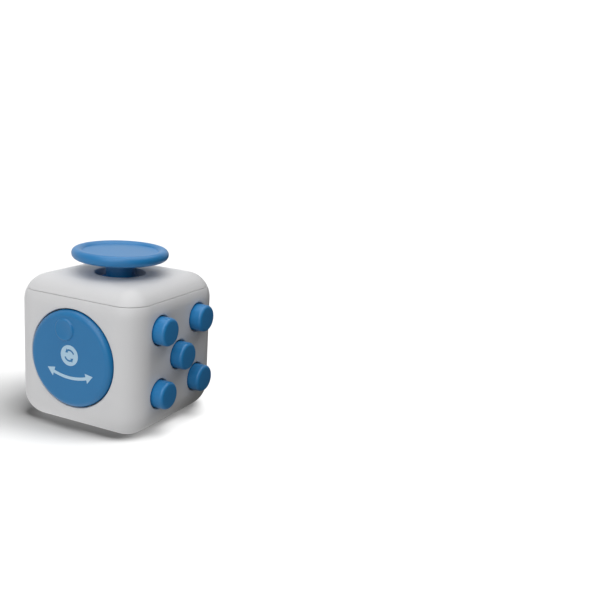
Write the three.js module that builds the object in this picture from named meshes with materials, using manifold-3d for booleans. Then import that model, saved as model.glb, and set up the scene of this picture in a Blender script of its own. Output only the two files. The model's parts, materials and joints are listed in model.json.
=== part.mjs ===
// Fidget cube: a 33 mm desk toy with one control on each face.
// Top: joystick. Front (-Y): dial. Right (+X): five buttons. Back (+Y): three wheels and a ball.
// Left (-X): flip switch. Underside: thumb hollow.
// Millimetres, +Z up. The origin is the centre of the square that the cube rests on.

import * as THREE from 'three';
import { RoundedBoxGeometry } from 'three/addons/geometries/RoundedBoxGeometry.js';
import { mergeVertices } from 'three/addons/utils/BufferGeometryUtils.js';
import Module from 'manifold-3d';

const wasm = await Module();
wasm.setup();

// ---- Driving dimensions ----

// Case
const CUBE_WIDTH = 33;
const CUBE_DEPTH = 33;
const CUBE_HEIGHT = 33;
const EDGE_RADIUS = 6;
const WALL = 1.8;
const COVER_HEIGHT = 3.2;
const SEAM_GAP = 0.3;
const LIP_HEIGHT = 1.1;
const LIP_THICKNESS = 1.1;

// Clearances
const SLIDE_GAP = 0.3;
const SEAT_GAP = 0.2;
const SCREW_GAP = 0.15;

// Thumb hollow on the underside
const HOLLOW_RADIUS = 8.5;
const HOLLOW_DEPTH = 2.2;
const HOLLOW_WALL = 1.5;

// Dial on the front
const DIAL_RADIUS = 10.8;
const DIAL_GAP = 0.25;
const DIAL_PROUD = 0.56;
const DIAL_EDGE = 0.7;
const DIAL_RECESS_DEPTH = 2.6;
const DIAL_FLOOR = 1.2;
const DIAL_RECESS_RIM = 0.9;
const DIAL_SHAFT_RADIUS = 2.5;
const DIAL_BUMP_RADIUS = 2.45;
const DIAL_BUMP_HEIGHT = 0.5;
const DIAL_BUMP_RIGHT = -1.5;
const DIAL_BUMP_UP = 6.4;
const DIAL_WASHER_RADIUS = 4;
const DIAL_WASHER_THICKNESS = 0.6;

// Buttons on the right
const BUTTON_RADIUS = 3.1;
const BUTTON_PROUD = 2.7;
const BUTTON_EDGE = 0.7;
const BUTTON_PITCH = 7.2;
const BUTTON_TRAVEL = 1.5;
const BUTTON_FLANGE_WIDTH = 0.65;
const BUTTON_FLANGE_THICKNESS = 1;
const BUTTON_STEM_RADIUS = 0.9;
const BUTTON_SPRING_SPACE = 3.8;
const BUTTON_SPRING_WIRE = 0.25;
const SWITCH_PAD_RADIUS = 1.6;
const SWITCH_PAD_HEIGHT = 0.4;

// Flip switch on the left
const ROCKER_WIDTH = 6.4;
const ROCKER_REACH = 7.2;
const ROCKER_TILT = THREE.MathUtils.degToRad(12);
const ROCKER_LOW_SIDE = 0.4;
const ROCKER_BELOW_PIVOT = 1;
const TRUNNION_RADIUS = 0.9;
const TRUNNION_LENGTH = 1;
const CHEEK_THICKNESS = 1.2;
const PLUNGER_RADIUS = 1.05;
const PLUNGER_REACH = 4.7;
const PLUNGER_SHOULDER = 1.6;
const SWITCH_SPRING_WIRE = 0.15;
const HOUSING_FLOOR = 1;
const HOUSING_HALF_HEIGHT = 4;
const HOUSING_PEG_RADIUS = 1.2;

// Wheels and ball on the back
const WHEEL_RADIUS = 4.4;
const WHEEL_WIDTH = 4;
const WHEEL_SPACING = 0.4;
const WHEEL_RIBS = 16;
const WHEEL_RIB_HEIGHT = 0.45;
const WHEEL_COUNT = 3;
const AXLE_RADIUS = 1;
const CRADLE_WALL = 1;
const CRADLE_TONGUE_WIDTH = 5;
const WINDOW_MARGIN = 0.9;
const BALL_RADIUS = 4;
const BALL_PROUD = 1.4;
const BALL_CUP_WALL = 0.6;
const BALL_CUP_BACK = 0.9;
const BALL_GUIDE_WALL = 0.9;
const BALL_SPRING_SPACE = 3.7;
const BALL_SPRING_RADIUS = 2.8;
const BALL_SPRING_WIRE = 0.3;

// Joystick on top
const COVER_HOLE_RADIUS = 5.7;
const DOME_RADIUS = 9;
const DOME_BELOW_TOP = 0.1;
const DOME_WALL = 0.9;
const DOME_HALF_ANGLE = THREE.MathUtils.degToRad(53);
const JOYSTICK_LEAN = THREE.MathUtils.degToRad(12);
const HUB_RADIUS = 2.6;
const HUB_LENGTH = 5.2;
const PEG_RADIUS = 1.5;
const NECK_RADIUS = 3.2;
const CAP_RADIUS = 10.8;
const CAP_THICKNESS = 2.5;
const CAP_CLEARANCE = 3;
const CAP_EDGE = 1.1;
const CAP_DISH_RADIUS = 8.6;
const CAP_DISH_DEPTH = 0.4;
const PIVOT_BALL_RADIUS = 2.1;
const LOWER_STEM_RADIUS = 1.3;
const SOCKET_RADIUS = 3.4;
const SOCKET_ABOVE_PIVOT = 0.6;
const JOYSTICK_SPRING_RADIUS = 5;
const JOYSTICK_SPRING_WIRE = 0.35;
const SEAT_RING_HALF_WIDTH = 0.7;
const SEAT_RING_THICKNESS = 0.8;
const SEAT_RING_ABOVE_PIVOT = 4.3;

// Inner frame
const FRAME_PLATE = 1.2;
const FRAME_BASE = 1;
const BUTTON_PLATE = 1;
const FRAME_INSET = 1.8;
const FRAME_CORNER = 2;
const FRAME_BELOW_PIVOT = 2.4;
const SCREW_INSET = 3.3;
const SCREW_SHANK_RADIUS = 0.8;
const SCREW_HEAD_RADIUS = 1.6;
const SCREW_HEAD_HEIGHT = 1;
const SCREW_BOSS_WALL = 1;

// Smoothness
const CASE_SEGMENTS = 5;
const CAVITY_SEGMENTS = 3;
const ROUND_SEGMENTS = 40;
const SMALL_SEGMENTS = 20;
const TINY_SEGMENTS = 12;
const COIL_SIDES = 5;
const COIL_STEPS_PER_TURN = 10;

// ---- Finishes ----

const whiteShell = { color: 0xdcdcdd, roughness: 0.45, metalness: 0 };
const bluePlastic = { color: 0x3f7cae, roughness: 0.38, metalness: 0 };
const dialBlue = { color: 0x3872a2, roughness: 0.4, metalness: 0 };
const innerPlastic = { color: 0xc9c9c6, roughness: 0.6, metalness: 0 };
const steel = { color: 0xb4b6b8, roughness: 0.3, metalness: 1 };
const softRubber = { color: 0x8f9498, roughness: 0.85, metalness: 0 };

// ---- Shape helpers ----

// A closed geometry as a solid for joining and cutting
function solid(geometry) {
  const bare = geometry.clone();
  bare.deleteAttribute('normal');
  bare.deleteAttribute('uv');
  const merged = mergeVertices(bare, 1e-4);
  const corners = [];
  const index = merged.index.array;
  for (let i = 0; i < index.length; i += 3) {
    const [a, b, c] = [index[i], index[i + 1], index[i + 2]];
    if (a !== b && b !== c && c !== a) corners.push(a, b, c);
  }
  const vertProperties = new Float32Array(merged.attributes.position.array);
  const triVerts = new Uint32Array(corners);
  if (signedVolume(vertProperties, triVerts) < 0) triVerts.reverse();
  return new wasm.Manifold(new wasm.Mesh({ numProp: 3, vertProperties, triVerts }));
}

function signedVolume(positions, triangles) {
  const [a, b, c] = [new THREE.Vector3(), new THREE.Vector3(), new THREE.Vector3()];
  let sum = 0;
  for (let i = 0; i < triangles.length; i += 3) {
    a.fromArray(positions, 3 * triangles[i]);
    b.fromArray(positions, 3 * triangles[i + 1]);
    c.fromArray(positions, 3 * triangles[i + 2]);
    sum += a.dot(b.cross(c)) / 6;
  }
  return sum;
}

// A finished solid as a named mesh
function piece(name, shape, finish) {
  const { vertProperties, triVerts } = shape.getMesh();
  const geometry = new THREE.BufferGeometry();
  geometry.setAttribute('position', new THREE.BufferAttribute(vertProperties, 3));
  geometry.setIndex(new THREE.BufferAttribute(triVerts, 1));
  geometry.computeVertexNormals();
  const mesh = new THREE.Mesh(geometry, new THREE.MeshStandardMaterial(finish));
  mesh.name = name;
  return mesh;
}

// A profile of [radius, height] points turned about Z. It runs from the lower end, up the outside.
function turned(profile, segments) {
  const points = profile.map(([radius, height]) => new THREE.Vector2(radius, height));
  const geometry = new THREE.LatheGeometry(points, segments);
  geometry.rotateX(Math.PI / 2);
  return geometry;
}

// The points of a quarter-round edge, from the side wall over to the flat face
function roundedEdge(radius, top, edge, steps) {
  const points = [];
  for (let i = 0; i <= steps; i++) {
    const angle = (i / steps) * (Math.PI / 2);
    points.push([radius - edge + edge * Math.cos(angle), top - edge + edge * Math.sin(angle)]);
  }
  return points;
}

// An arc of [radius, height] points about a centre on the axis, angles measured from straight up
function arc(radius, centreHeight, fromAngle, toAngle, steps) {
  const points = [];
  for (let i = 0; i <= steps; i++) {
    const angle = fromAngle + (i / steps) * (toAngle - fromAngle);
    points.push([radius * Math.sin(angle), centreHeight + radius * Math.cos(angle)]);
  }
  return points;
}

function rod(radius, bottom, top, segments) {
  return turned([[0, bottom], [radius, bottom], [radius, top], [0, top]], segments);
}

function ring(innerRadius, outerRadius, bottom, top, segments) {
  const profile = [
    [innerRadius, bottom],
    [outerRadius, bottom],
    [outerRadius, top],
    [innerRadius, top],
    [innerRadius, bottom],
  ];
  return turned(profile, segments);
}

// A block given by its low and high corners
function block(low, high) {
  const geometry = new THREE.BoxGeometry(1, 1, 1);
  const position = geometry.attributes.position;
  for (let i = 0; i < position.count; i++) {
    const sides = [position.getX(i), position.getY(i), position.getZ(i)];
    position.setXYZ(i, ...sides.map((side, axis) => (side > 0 ? high[axis] : low[axis])));
  }
  return geometry;
}

function roundedSquare(halfWidth, halfDepth, corner) {
  const shape = new THREE.Shape();
  const [x, y] = [halfWidth - corner, halfDepth - corner];
  shape.absarc(x, y, corner, 0, Math.PI / 2);
  shape.absarc(-x, y, corner, Math.PI / 2, Math.PI);
  shape.absarc(-x, -y, corner, Math.PI, 1.5 * Math.PI);
  shape.absarc(x, -y, corner, 1.5 * Math.PI, 2 * Math.PI);
  return shape;
}

function raised(shape, bottom, top, curveSegments) {
  const depth = top - bottom;
  const geometry = new THREE.ExtrudeGeometry(shape, { depth, bevelEnabled: false, curveSegments });
  geometry.translate(0, 0, bottom);
  return geometry;
}

class Helix extends THREE.Curve {
  constructor(radius, bottom, top, turns) {
    super();
    Object.assign(this, { radius, bottom, top, turns });
  }
  getPoint(t, target = new THREE.Vector3()) {
    const angle = 2 * Math.PI * this.turns * t;
    const height = this.bottom + (this.top - this.bottom) * t;
    return target.set(this.radius * Math.cos(angle), this.radius * Math.sin(angle), height);
  }
}

// A coil spring between two flat seats, standing on Z
function coil(radius, wire, bottom, top, turns) {
  const section = new THREE.Shape();
  for (let i = 0; i < COIL_SIDES; i++) {
    const angle = (2 * Math.PI * i) / COIL_SIDES;
    const [x, y] = [wire * Math.cos(angle), wire * Math.sin(angle)];
    if (i === 0) section.moveTo(x, y);
    else section.lineTo(x, y);
  }
  const extrudePath = new Helix(radius, bottom + wire, top - wire, turns);
  const steps = Math.round(turns * COIL_STEPS_PER_TURN);
  return new THREE.ExtrudeGeometry(section, { extrudePath, steps, bevelEnabled: false });
}

// ---- Faces: in a face's own frame X is right, Y is up, Z points out, and Z = 0 is the outer wall ----

const MIDDLE = new THREE.Vector3(0, 0, CUBE_HEIGHT / 2);

function sideFace(turn, distance) {
  const out = new THREE.Vector3(0, -distance, 0).applyAxisAngle(new THREE.Vector3(0, 0, 1), turn);
  const rotation = new THREE.Euler(Math.PI / 2, 0, turn, 'ZXY');
  const quaternion = new THREE.Quaternion().setFromEuler(rotation);
  return new THREE.Matrix4().compose(out.add(MIDDLE), quaternion, new THREE.Vector3(1, 1, 1));
}

const FRONT = sideFace(0, CUBE_DEPTH / 2);
const RIGHT = sideFace(Math.PI / 2, CUBE_WIDTH / 2);
const BACK = sideFace(Math.PI, CUBE_DEPTH / 2);
const LEFT = sideFace(-Math.PI / 2, CUBE_WIDTH / 2);

function onFace(face, geometry) {
  return geometry.clone().applyMatrix4(face);
}

function faceGroup(face) {
  const group = new THREE.Group();
  group.applyMatrix4(face);
  return group;
}

// ---- Sizes that follow from the ones above ----

const seamHeight = CUBE_HEIGHT - COVER_HEIGHT;
const cavityRadius = EDGE_RADIUS - WALL;
const behindWall = WALL + SLIDE_GAP;

const hollowSphere = (HOLLOW_RADIUS ** 2 + HOLLOW_DEPTH ** 2) / (2 * HOLLOW_DEPTH);
const hollowBossTop = HOLLOW_DEPTH + HOLLOW_WALL;

const frameBaseBottom = hollowBossTop + SLIDE_GAP + SEAT_GAP;
const frameBaseTop = frameBaseBottom + FRAME_BASE;
const screwX = CUBE_WIDTH / 2 - WALL - SCREW_INSET;
const screwY = CUBE_DEPTH / 2 - WALL - SCREW_INSET;
const screwPlaces = [[-1, -1], [1, -1], [1, 1], [-1, 1]].map(([x, y]) => [x * screwX, y * screwY]);

const buttonFlangeRadius = BUTTON_RADIUS + BUTTON_FLANGE_WIDTH;
const buttonFlangeBack = behindWall + BUTTON_FLANGE_THICKNESS;
const buttonPlateDepth = buttonFlangeBack + BUTTON_SPRING_SPACE;
const buttonSpringRadius = SWITCH_PAD_RADIUS + SLIDE_GAP + 1.5 * BUTTON_SPRING_WIRE;
const dieFive = [[-1, 1], [1, 1], [0, 0], [-1, -1], [1, -1]];
const buttonPlaces = dieFive.map(([x, y]) => [x * BUTTON_PITCH, y * BUTTON_PITCH]);

const dialRecessRadius = DIAL_RADIUS + DIAL_GAP;
const dialBack = DIAL_RECESS_DEPTH - SLIDE_GAP;
const recessBack = DIAL_RECESS_DEPTH + DIAL_FLOOR;
const dialShaftEnd = recessBack + SLIDE_GAP;

const pivotDepth = WALL + TRUNNION_RADIUS + SLIDE_GAP;
const cheekInside = ROCKER_WIDTH / 2 + SLIDE_GAP;
const housingFloorDepth = pivotDepth + PLUNGER_REACH + SLIDE_GAP;
const housingBack = housingFloorDepth + HOUSING_FLOOR;
const rockerBoreRadius = PLUNGER_RADIUS + SEAT_GAP;
const rockerBoreTop = 1.6;

const wheelAxisDepth = behindWall + AXLE_RADIUS;
const windowHalfHeight = Math.sqrt(WHEEL_RADIUS ** 2 - (wheelAxisDepth - WALL) ** 2) + SLIDE_GAP;
const wheelRowWidth = WHEEL_COUNT * WHEEL_WIDTH + (WHEEL_COUNT - 1) * WHEEL_SPACING;
const windowHalfWidth = wheelRowWidth / 2 + WHEEL_SPACING;
const wheelUp = seamHeight - LIP_HEIGHT - WINDOW_MARGIN - windowHalfHeight - CUBE_HEIGHT / 2;
const cradleInside = windowHalfWidth + SEAT_GAP;
const cradleOutside = cradleInside + CRADLE_WALL;
const cradleBackFront = wheelAxisDepth + WHEEL_RADIUS + SLIDE_GAP;
const cradleBack = cradleBackFront + CRADLE_WALL;

const ballDepth = BALL_RADIUS - BALL_PROUD;
const ballSeatRadius = BALL_RADIUS + SLIDE_GAP;
const ballCupRadius = ballSeatRadius + BALL_CUP_WALL;
const ballCupBack = ballDepth + ballSeatRadius + BALL_CUP_BACK;
const ballGuideRadius = ballCupRadius + SLIDE_GAP;
const ballUp = frameBaseTop + SLIDE_GAP + ballCupRadius - CUBE_HEIGHT / 2;
const ballPlateDepth = ballCupBack + BALL_SPRING_SPACE;

const pivotHeight = CUBE_HEIGHT - DOME_BELOW_TOP - DOME_RADIUS;
const frameTop = pivotHeight - FRAME_BELOW_PIVOT;
const skirtLowest = pivotHeight + (DOME_RADIUS - DOME_WALL) * Math.cos(DOME_HALF_ANGLE + JOYSTICK_LEAN);
const cradleHalfHeight = skirtLowest - SLIDE_GAP - CUBE_HEIGHT / 2 - wheelUp;
const capBottom = CUBE_HEIGHT + CAP_CLEARANCE;
const capTop = capBottom + CAP_THICKNESS;
const hubBottom = pivotHeight + DOME_RADIUS - HUB_LENGTH;
const pegBottom = hubBottom + FRAME_PLATE;
const neckBottom = CUBE_HEIGHT + SEAT_GAP;
const seatRingBottom = pivotHeight + SEAT_RING_ABOVE_PIVOT;

// ---- Case ----

function outerBox() {
  const box = new RoundedBoxGeometry(CUBE_WIDTH, CUBE_DEPTH, CUBE_HEIGHT, CASE_SEGMENTS, EDGE_RADIUS);
  box.translate(0, 0, CUBE_HEIGHT / 2);
  return solid(box);
}

function cavity() {
  const size = [CUBE_WIDTH, CUBE_DEPTH, CUBE_HEIGHT].map((value) => value - 2 * WALL);
  const box = new RoundedBoxGeometry(...size, CAVITY_SEGMENTS, cavityRadius);
  box.translate(0, 0, CUBE_HEIGHT / 2);
  return solid(box);
}

function layer(bottom, top) {
  return solid(block([-CUBE_WIDTH, -CUBE_DEPTH, bottom], [CUBE_WIDTH, CUBE_DEPTH, top]));
}

function bodyShell() {
  const below = layer(-CUBE_HEIGHT, seamHeight - SEAM_GAP / 2);
  let shell = outerBox().subtract(cavity());

  // Floor boss behind the thumb hollow, and the four screw bosses
  shell = shell.add(solid(rod(HOLLOW_RADIUS + HOLLOW_WALL, WALL / 2, hollowBossTop, ROUND_SEGMENTS)));
  for (const [x, y] of screwPlaces) {
    const bossRadius = SCREW_SHANK_RADIUS + SCREW_GAP + SCREW_BOSS_WALL;
    const boss = rod(bossRadius, WALL / 2, frameBaseBottom - SEAT_GAP, TINY_SEGMENTS);
    const bore = rod(SCREW_SHANK_RADIUS + SCREW_GAP, WALL, frameBaseBottom, TINY_SEGMENTS);
    shell = shell.add(solid(boss.translate(x, y, 0))).subtract(solid(bore.translate(x, y, 0)));
  }

  // Cup-shaped recess for the dial
  const pan = rod(dialRecessRadius + DIAL_RECESS_RIM, -recessBack, -WALL / 2, ROUND_SEGMENTS);
  const recess = rod(dialRecessRadius, -DIAL_RECESS_DEPTH, EDGE_RADIUS, ROUND_SEGMENTS);
  const shaftHole = rod(DIAL_SHAFT_RADIUS + SLIDE_GAP, -EDGE_RADIUS, 0, SMALL_SEGMENTS);
  const panInside = solid(onFace(FRONT, pan)).intersect(outerBox());
  shell = shell.add(panInside).subtract(solid(onFace(FRONT, recess)));
  shell = shell.subtract(solid(onFace(FRONT, shaftHole)));

  // Button holes
  for (const [x, y] of buttonPlaces) {
    const hole = rod(BUTTON_RADIUS + SLIDE_GAP, -2 * WALL, WALL, SMALL_SEGMENTS).translate(x, y, 0);
    shell = shell.subtract(solid(onFace(RIGHT, hole)));
  }

  // Window for the wheels, and the ball's guide tube and round seat
  const windowShape = roundedSquare(windowHalfWidth, windowHalfHeight, SLIDE_GAP * 2);
  const window = raised(windowShape, -2 * WALL, WALL, 3).translate(0, wheelUp, 0);
  shell = shell.subtract(solid(onFace(BACK, window)));
  const guideDepth = ballDepth + ballSeatRadius - SLIDE_GAP;
  const guide = rod(ballGuideRadius + BALL_GUIDE_WALL, -guideDepth, -WALL / 2, SMALL_SEGMENTS);
  const guideBore = rod(ballGuideRadius, -guideDepth - WALL, -WALL, SMALL_SEGMENTS);
  const seat = new THREE.SphereGeometry(ballSeatRadius, SMALL_SEGMENTS, TINY_SEGMENTS);
  seat.translate(0, ballUp, -ballDepth);
  shell = shell.add(solid(onFace(BACK, guide.translate(0, ballUp, 0))).intersect(outerBox()));
  shell = shell.subtract(solid(onFace(BACK, guideBore.translate(0, ballUp, 0))));
  shell = shell.subtract(solid(onFace(BACK, seat)));

  // Slot for the rocker
  const slotHalfHeight = Math.sqrt(ROCKER_REACH ** 2 - (pivotDepth - WALL) ** 2) + SLIDE_GAP;
  const slotShape = roundedSquare(ROCKER_WIDTH / 2 + SLIDE_GAP, slotHalfHeight, SLIDE_GAP * 2);
  shell = shell.subtract(solid(onFace(LEFT, raised(slotShape, -2 * WALL, WALL, 3))));

  // Thumb hollow, a shallow part of a large sphere
  const thumbArc = arc(hollowSphere, HOLLOW_DEPTH - hollowSphere, Math.PI, 0, ROUND_SEGMENTS);
  const thumb = turned(thumbArc, ROUND_SEGMENTS);
  return shell.subtract(solid(thumb)).intersect(below);
}

function topCover() {
  const above = layer(seamHeight + SEAM_GAP / 2, 2 * CUBE_HEIGHT);
  let cover = outerBox().subtract(cavity()).intersect(above);
  const seamRise = seamHeight - (CUBE_HEIGHT - EDGE_RADIUS);
  const slope = EDGE_RADIUS - WALL - Math.sqrt(Math.max(cavityRadius ** 2 - seamRise ** 2, 0));
  const lipHalf = (size) => size / 2 - WALL - slope - SLIDE_GAP;
  const [halfWidth, halfDepth] = [lipHalf(CUBE_WIDTH), lipHalf(CUBE_DEPTH)];
  const outside = roundedSquare(halfWidth, halfDepth, cavityRadius / 2 + LIP_THICKNESS);
  const inside = roundedSquare(halfWidth - LIP_THICKNESS, halfDepth - LIP_THICKNESS, cavityRadius / 2);
  const lipTop = CUBE_HEIGHT - WALL / 2;
  const lipBottom = seamHeight - LIP_HEIGHT;
  const lip = solid(raised(outside, lipBottom, lipTop, 4));
  const lipRoom = solid(raised(inside, lipBottom - 1, lipTop + 1, 4));
  cover = cover.add(lip.subtract(lipRoom).intersect(outerBox()));
  return cover.subtract(solid(rod(COVER_HOLE_RADIUS, 0, 2 * CUBE_HEIGHT, ROUND_SEGMENTS)));
}

// ---- Inner frame ----

function coreFrame() {
  const left = -CUBE_WIDTH / 2 + housingBack + SEAT_GAP;
  const right = CUBE_WIDTH / 2 - buttonPlateDepth;
  const rear = CUBE_DEPTH / 2 - ballPlateDepth;
  const dialStack = DIAL_WASHER_THICKNESS + SCREW_HEAD_HEIGHT + 3 * SEAT_GAP;
  const front = -CUBE_DEPTH / 2 + dialShaftEnd + dialStack;
  const buttonReach = BUTTON_PITCH + buttonSpringRadius + BUTTON_SPRING_WIRE;
  const tongueEnd = CUBE_DEPTH / 2 - cradleBack - SEAT_GAP;

  const baseShape = roundedSquare(
    CUBE_WIDTH / 2 - WALL - FRAME_INSET, CUBE_DEPTH / 2 - WALL - FRAME_INSET, FRAME_CORNER);
  const base = solid(raised(baseShape, frameBaseBottom, frameBaseTop, 3));
  const guideRoom = ballGuideRadius + BALL_GUIDE_WALL + SLIDE_GAP;
  const notchFront = CUBE_DEPTH / 2 - ballDepth - ballSeatRadius;
  const notch = block([-guideRoom, notchFront, 0], [guideRoom, CUBE_DEPTH, 2 * frameBaseTop]);

  const plates = [
    block([left, front, frameBaseTop - FRAME_BASE / 2], [left + FRAME_PLATE, rear, frameTop]),
    block([right - BUTTON_PLATE, -buttonReach, frameBaseTop - FRAME_BASE / 2],
      [right, buttonReach, CUBE_HEIGHT / 2 + buttonReach]),
    block([left, rear - FRAME_PLATE, frameBaseTop - FRAME_BASE / 2], [right, rear, frameTop]),
    block([left, front, frameTop - FRAME_PLATE], [right, tongueEnd, frameTop]),
  ];
  const panRadius = dialRecessRadius + DIAL_RECESS_RIM + SLIDE_GAP;
  const panChord = Math.sqrt(Math.max(panRadius ** 2 - (CUBE_HEIGHT / 2 - frameBaseTop) ** 2, 0));
  const panBack = -CUBE_DEPTH / 2 + recessBack + SLIDE_GAP;
  const panNotch = block([-panChord, -CUBE_DEPTH, 0], [panChord, panBack, 2 * frameBaseTop]);
  let frame = base.subtract(solid(notch)).subtract(solid(panNotch));
  for (const plate of plates) frame = frame.add(solid(plate));

  // Socket for the joystick's pivot ball
  const postTop = pivotHeight + SOCKET_ABOVE_PIVOT;
  const post = rod(SOCKET_RADIUS, frameTop - FRAME_PLATE / 2, postTop, SMALL_SEGMENTS);
  const socket = new THREE.SphereGeometry(PIVOT_BALL_RADIUS + SLIDE_GAP, SMALL_SEGMENTS, TINY_SEGMENTS);
  frame = frame.add(solid(post)).subtract(solid(socket.translate(0, 0, pivotHeight)));

  // Hole for the switch housing's peg, and the screw holes
  const pegHole = rod(HOUSING_PEG_RADIUS + SEAT_GAP, -2 * housingBack, 0, TINY_SEGMENTS);
  frame = frame.subtract(solid(onFace(LEFT, pegHole)));
  for (const [x, y] of screwPlaces) {
    const hole = rod(SCREW_SHANK_RADIUS + SEAT_GAP, 0, 2 * frameBaseTop, TINY_SEGMENTS);
    frame = frame.subtract(solid(hole.translate(x, y, 0)));
  }
  return frame;
}

// A self-tapping screw that stands head up, with the underside of its head at Z = 0
function screw(headRadius, headHeight, shankRadius, shankLength) {
  const tip = shankRadius;
  const slotHalf = headRadius / 6;
  const slotDepth = headHeight / 2;
  const profile = [
    [0, -shankLength],
    [shankRadius, tip - shankLength],
    [shankRadius, 0],
    [headRadius, 0],
    [headRadius, headHeight / 2],
    [headRadius * 0.8, headHeight],
    [0, headHeight],
  ];
  const body = solid(turned(profile, TINY_SEGMENTS));
  const arm = headRadius * 0.6;
  const cutAcross = block([-arm, -slotHalf, headHeight - slotDepth], [arm, slotHalf, 2 * headHeight]);
  const cutAlong = block([-slotHalf, -arm, headHeight - slotDepth], [slotHalf, arm, 2 * headHeight]);
  return body.subtract(solid(cutAcross)).subtract(solid(cutAlong));
}

function frameScrews() {
  const length = frameBaseTop + SEAT_GAP - WALL - SCREW_SHANK_RADIUS / 2;
  return screwPlaces.map(([x, y], i) => {
    const mesh = piece(
      `frame_screw_${i + 1}`, screw(SCREW_HEAD_RADIUS, SCREW_HEAD_HEIGHT, SCREW_SHANK_RADIUS, length), steel);
    mesh.position.set(x, y, frameBaseTop + SEAT_GAP);
    return mesh;
  });
}

// ---- Dial ----

function dialGroup() {
  const group = faceGroup(FRONT);
  const boreTop = -dialBack / 2;
  const profile = [
    [0, boreTop],
    [SCREW_SHANK_RADIUS + SCREW_GAP, boreTop],
    [SCREW_SHANK_RADIUS + SCREW_GAP, -dialShaftEnd],
    [DIAL_SHAFT_RADIUS, -dialShaftEnd],
    [DIAL_SHAFT_RADIUS, -dialBack],
    [DIAL_RADIUS, -dialBack],
    ...roundedEdge(DIAL_RADIUS, DIAL_PROUD, DIAL_EDGE, 3),
    [0, DIAL_PROUD],
  ];
  const bumpSphere = (DIAL_BUMP_RADIUS ** 2 + DIAL_BUMP_HEIGHT ** 2) / (2 * DIAL_BUMP_HEIGHT);
  const bumpAngle = Math.asin(DIAL_BUMP_RADIUS / bumpSphere);
  const bumpTop = DIAL_PROUD + DIAL_BUMP_HEIGHT;
  const bump = turned([
    [0, -dialBack / 2],
    [DIAL_BUMP_RADIUS, -dialBack / 2],
    ...arc(bumpSphere, bumpTop - bumpSphere, bumpAngle, 0, 4),
  ], SMALL_SEGMENTS);
  bump.translate(DIAL_BUMP_RIGHT, DIAL_BUMP_UP, 0);
  const disc = solid(turned(profile, ROUND_SEGMENTS)).add(solid(bump));
  group.add(piece('dial', disc, dialBlue));

  const washerFront = -dialShaftEnd - SEAT_GAP;
  const washer = ring(SCREW_SHANK_RADIUS + SEAT_GAP, DIAL_WASHER_RADIUS,
    washerFront - DIAL_WASHER_THICKNESS, washerFront, SMALL_SEGMENTS);
  group.add(piece('dial_washer', solid(washer), steel));

  const headDepth = -washerFront + DIAL_WASHER_THICKNESS + SEAT_GAP;
  const shank = headDepth + boreTop - SEAT_GAP;
  const mesh = piece('dial_screw',
    screw(SCREW_HEAD_RADIUS, SCREW_HEAD_HEIGHT, SCREW_SHANK_RADIUS, shank), steel);
  mesh.rotation.x = Math.PI;
  mesh.position.z = -headDepth;
  group.add(mesh);
  return group;
}

// ---- Buttons ----

function buttonGroup() {
  const group = faceGroup(RIGHT);
  const plate = -buttonPlateDepth;
  const stemTip = plate + SEAT_GAP + SWITCH_PAD_HEIGHT + SEAT_GAP + BUTTON_TRAVEL;
  const profile = [
    [0, stemTip],
    [BUTTON_STEM_RADIUS, stemTip],
    [BUTTON_STEM_RADIUS, -buttonFlangeBack],
    [buttonFlangeRadius, -buttonFlangeBack],
    [buttonFlangeRadius, -behindWall],
    [BUTTON_RADIUS, -behindWall],
    ...roundedEdge(BUTTON_RADIUS, BUTTON_PROUD, BUTTON_EDGE, 3),
    [0, BUTTON_PROUD],
  ];
  const cap = solid(turned(profile, SMALL_SEGMENTS));
  const spring = solid(
    coil(buttonSpringRadius, BUTTON_SPRING_WIRE, plate + SEAT_GAP, -buttonFlangeBack - SEAT_GAP, 3));
  const padBottom = plate + SEAT_GAP;
  const padTop = padBottom + SWITCH_PAD_HEIGHT;
  const dome = solid(turned(
    [[0, padBottom], [SWITCH_PAD_RADIUS, padBottom], [SWITCH_PAD_RADIUS * 0.75, padTop - 0.1],
      [SWITCH_PAD_RADIUS * 0.4, padTop], [0, padTop]], TINY_SEGMENTS));
  const pad = solid(rod(SWITCH_PAD_RADIUS, padBottom, padTop, TINY_SEGMENTS));
  const silent = [1, 3];

  let clickCount = 0;
  let silentCount = 0;
  buttonPlaces.forEach(([x, y], i) => {
    const place = new THREE.Group();
    place.position.set(x, y, 0);
    place.add(piece(`button_${i + 1}`, cap, bluePlastic));
    place.add(piece(`button_spring_${i + 1}`, spring, steel));
    if (silent.includes(i)) place.add(piece(`silent_pad_${++silentCount}`, pad, softRubber));
    else place.add(piece(`click_dome_${++clickCount}`, dome, steel));
    group.add(place);
  });
  return group;
}

// ---- Flip switch ----

// Side profile of the rocker about its pivot: two flats that meet in a shallow valley, round ends
function rockerProfile() {
  const valley = (pivotDepth + ROCKER_LOW_SIDE) / Math.cos(ROCKER_TILT);
  const slope = Math.tan(ROCKER_TILT);
  const a = 1 + slope ** 2;
  const b = valley * slope;
  const c = valley ** 2 - ROCKER_REACH ** 2;
  const tipAlong = (-b + Math.sqrt(b ** 2 - a * c)) / a;
  const tipAngle = Math.atan2(valley + slope * tipAlong, tipAlong);
  const lowAngle = -Math.asin(ROCKER_BELOW_PIVOT / ROCKER_REACH);
  const shape = new THREE.Shape();
  shape.absarc(0, 0, ROCKER_REACH, lowAngle, tipAngle);
  shape.lineTo(0, valley);
  shape.absarc(0, 0, ROCKER_REACH, Math.PI - tipAngle, Math.PI - lowAngle);
  shape.closePath();
  return shape;
}

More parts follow.
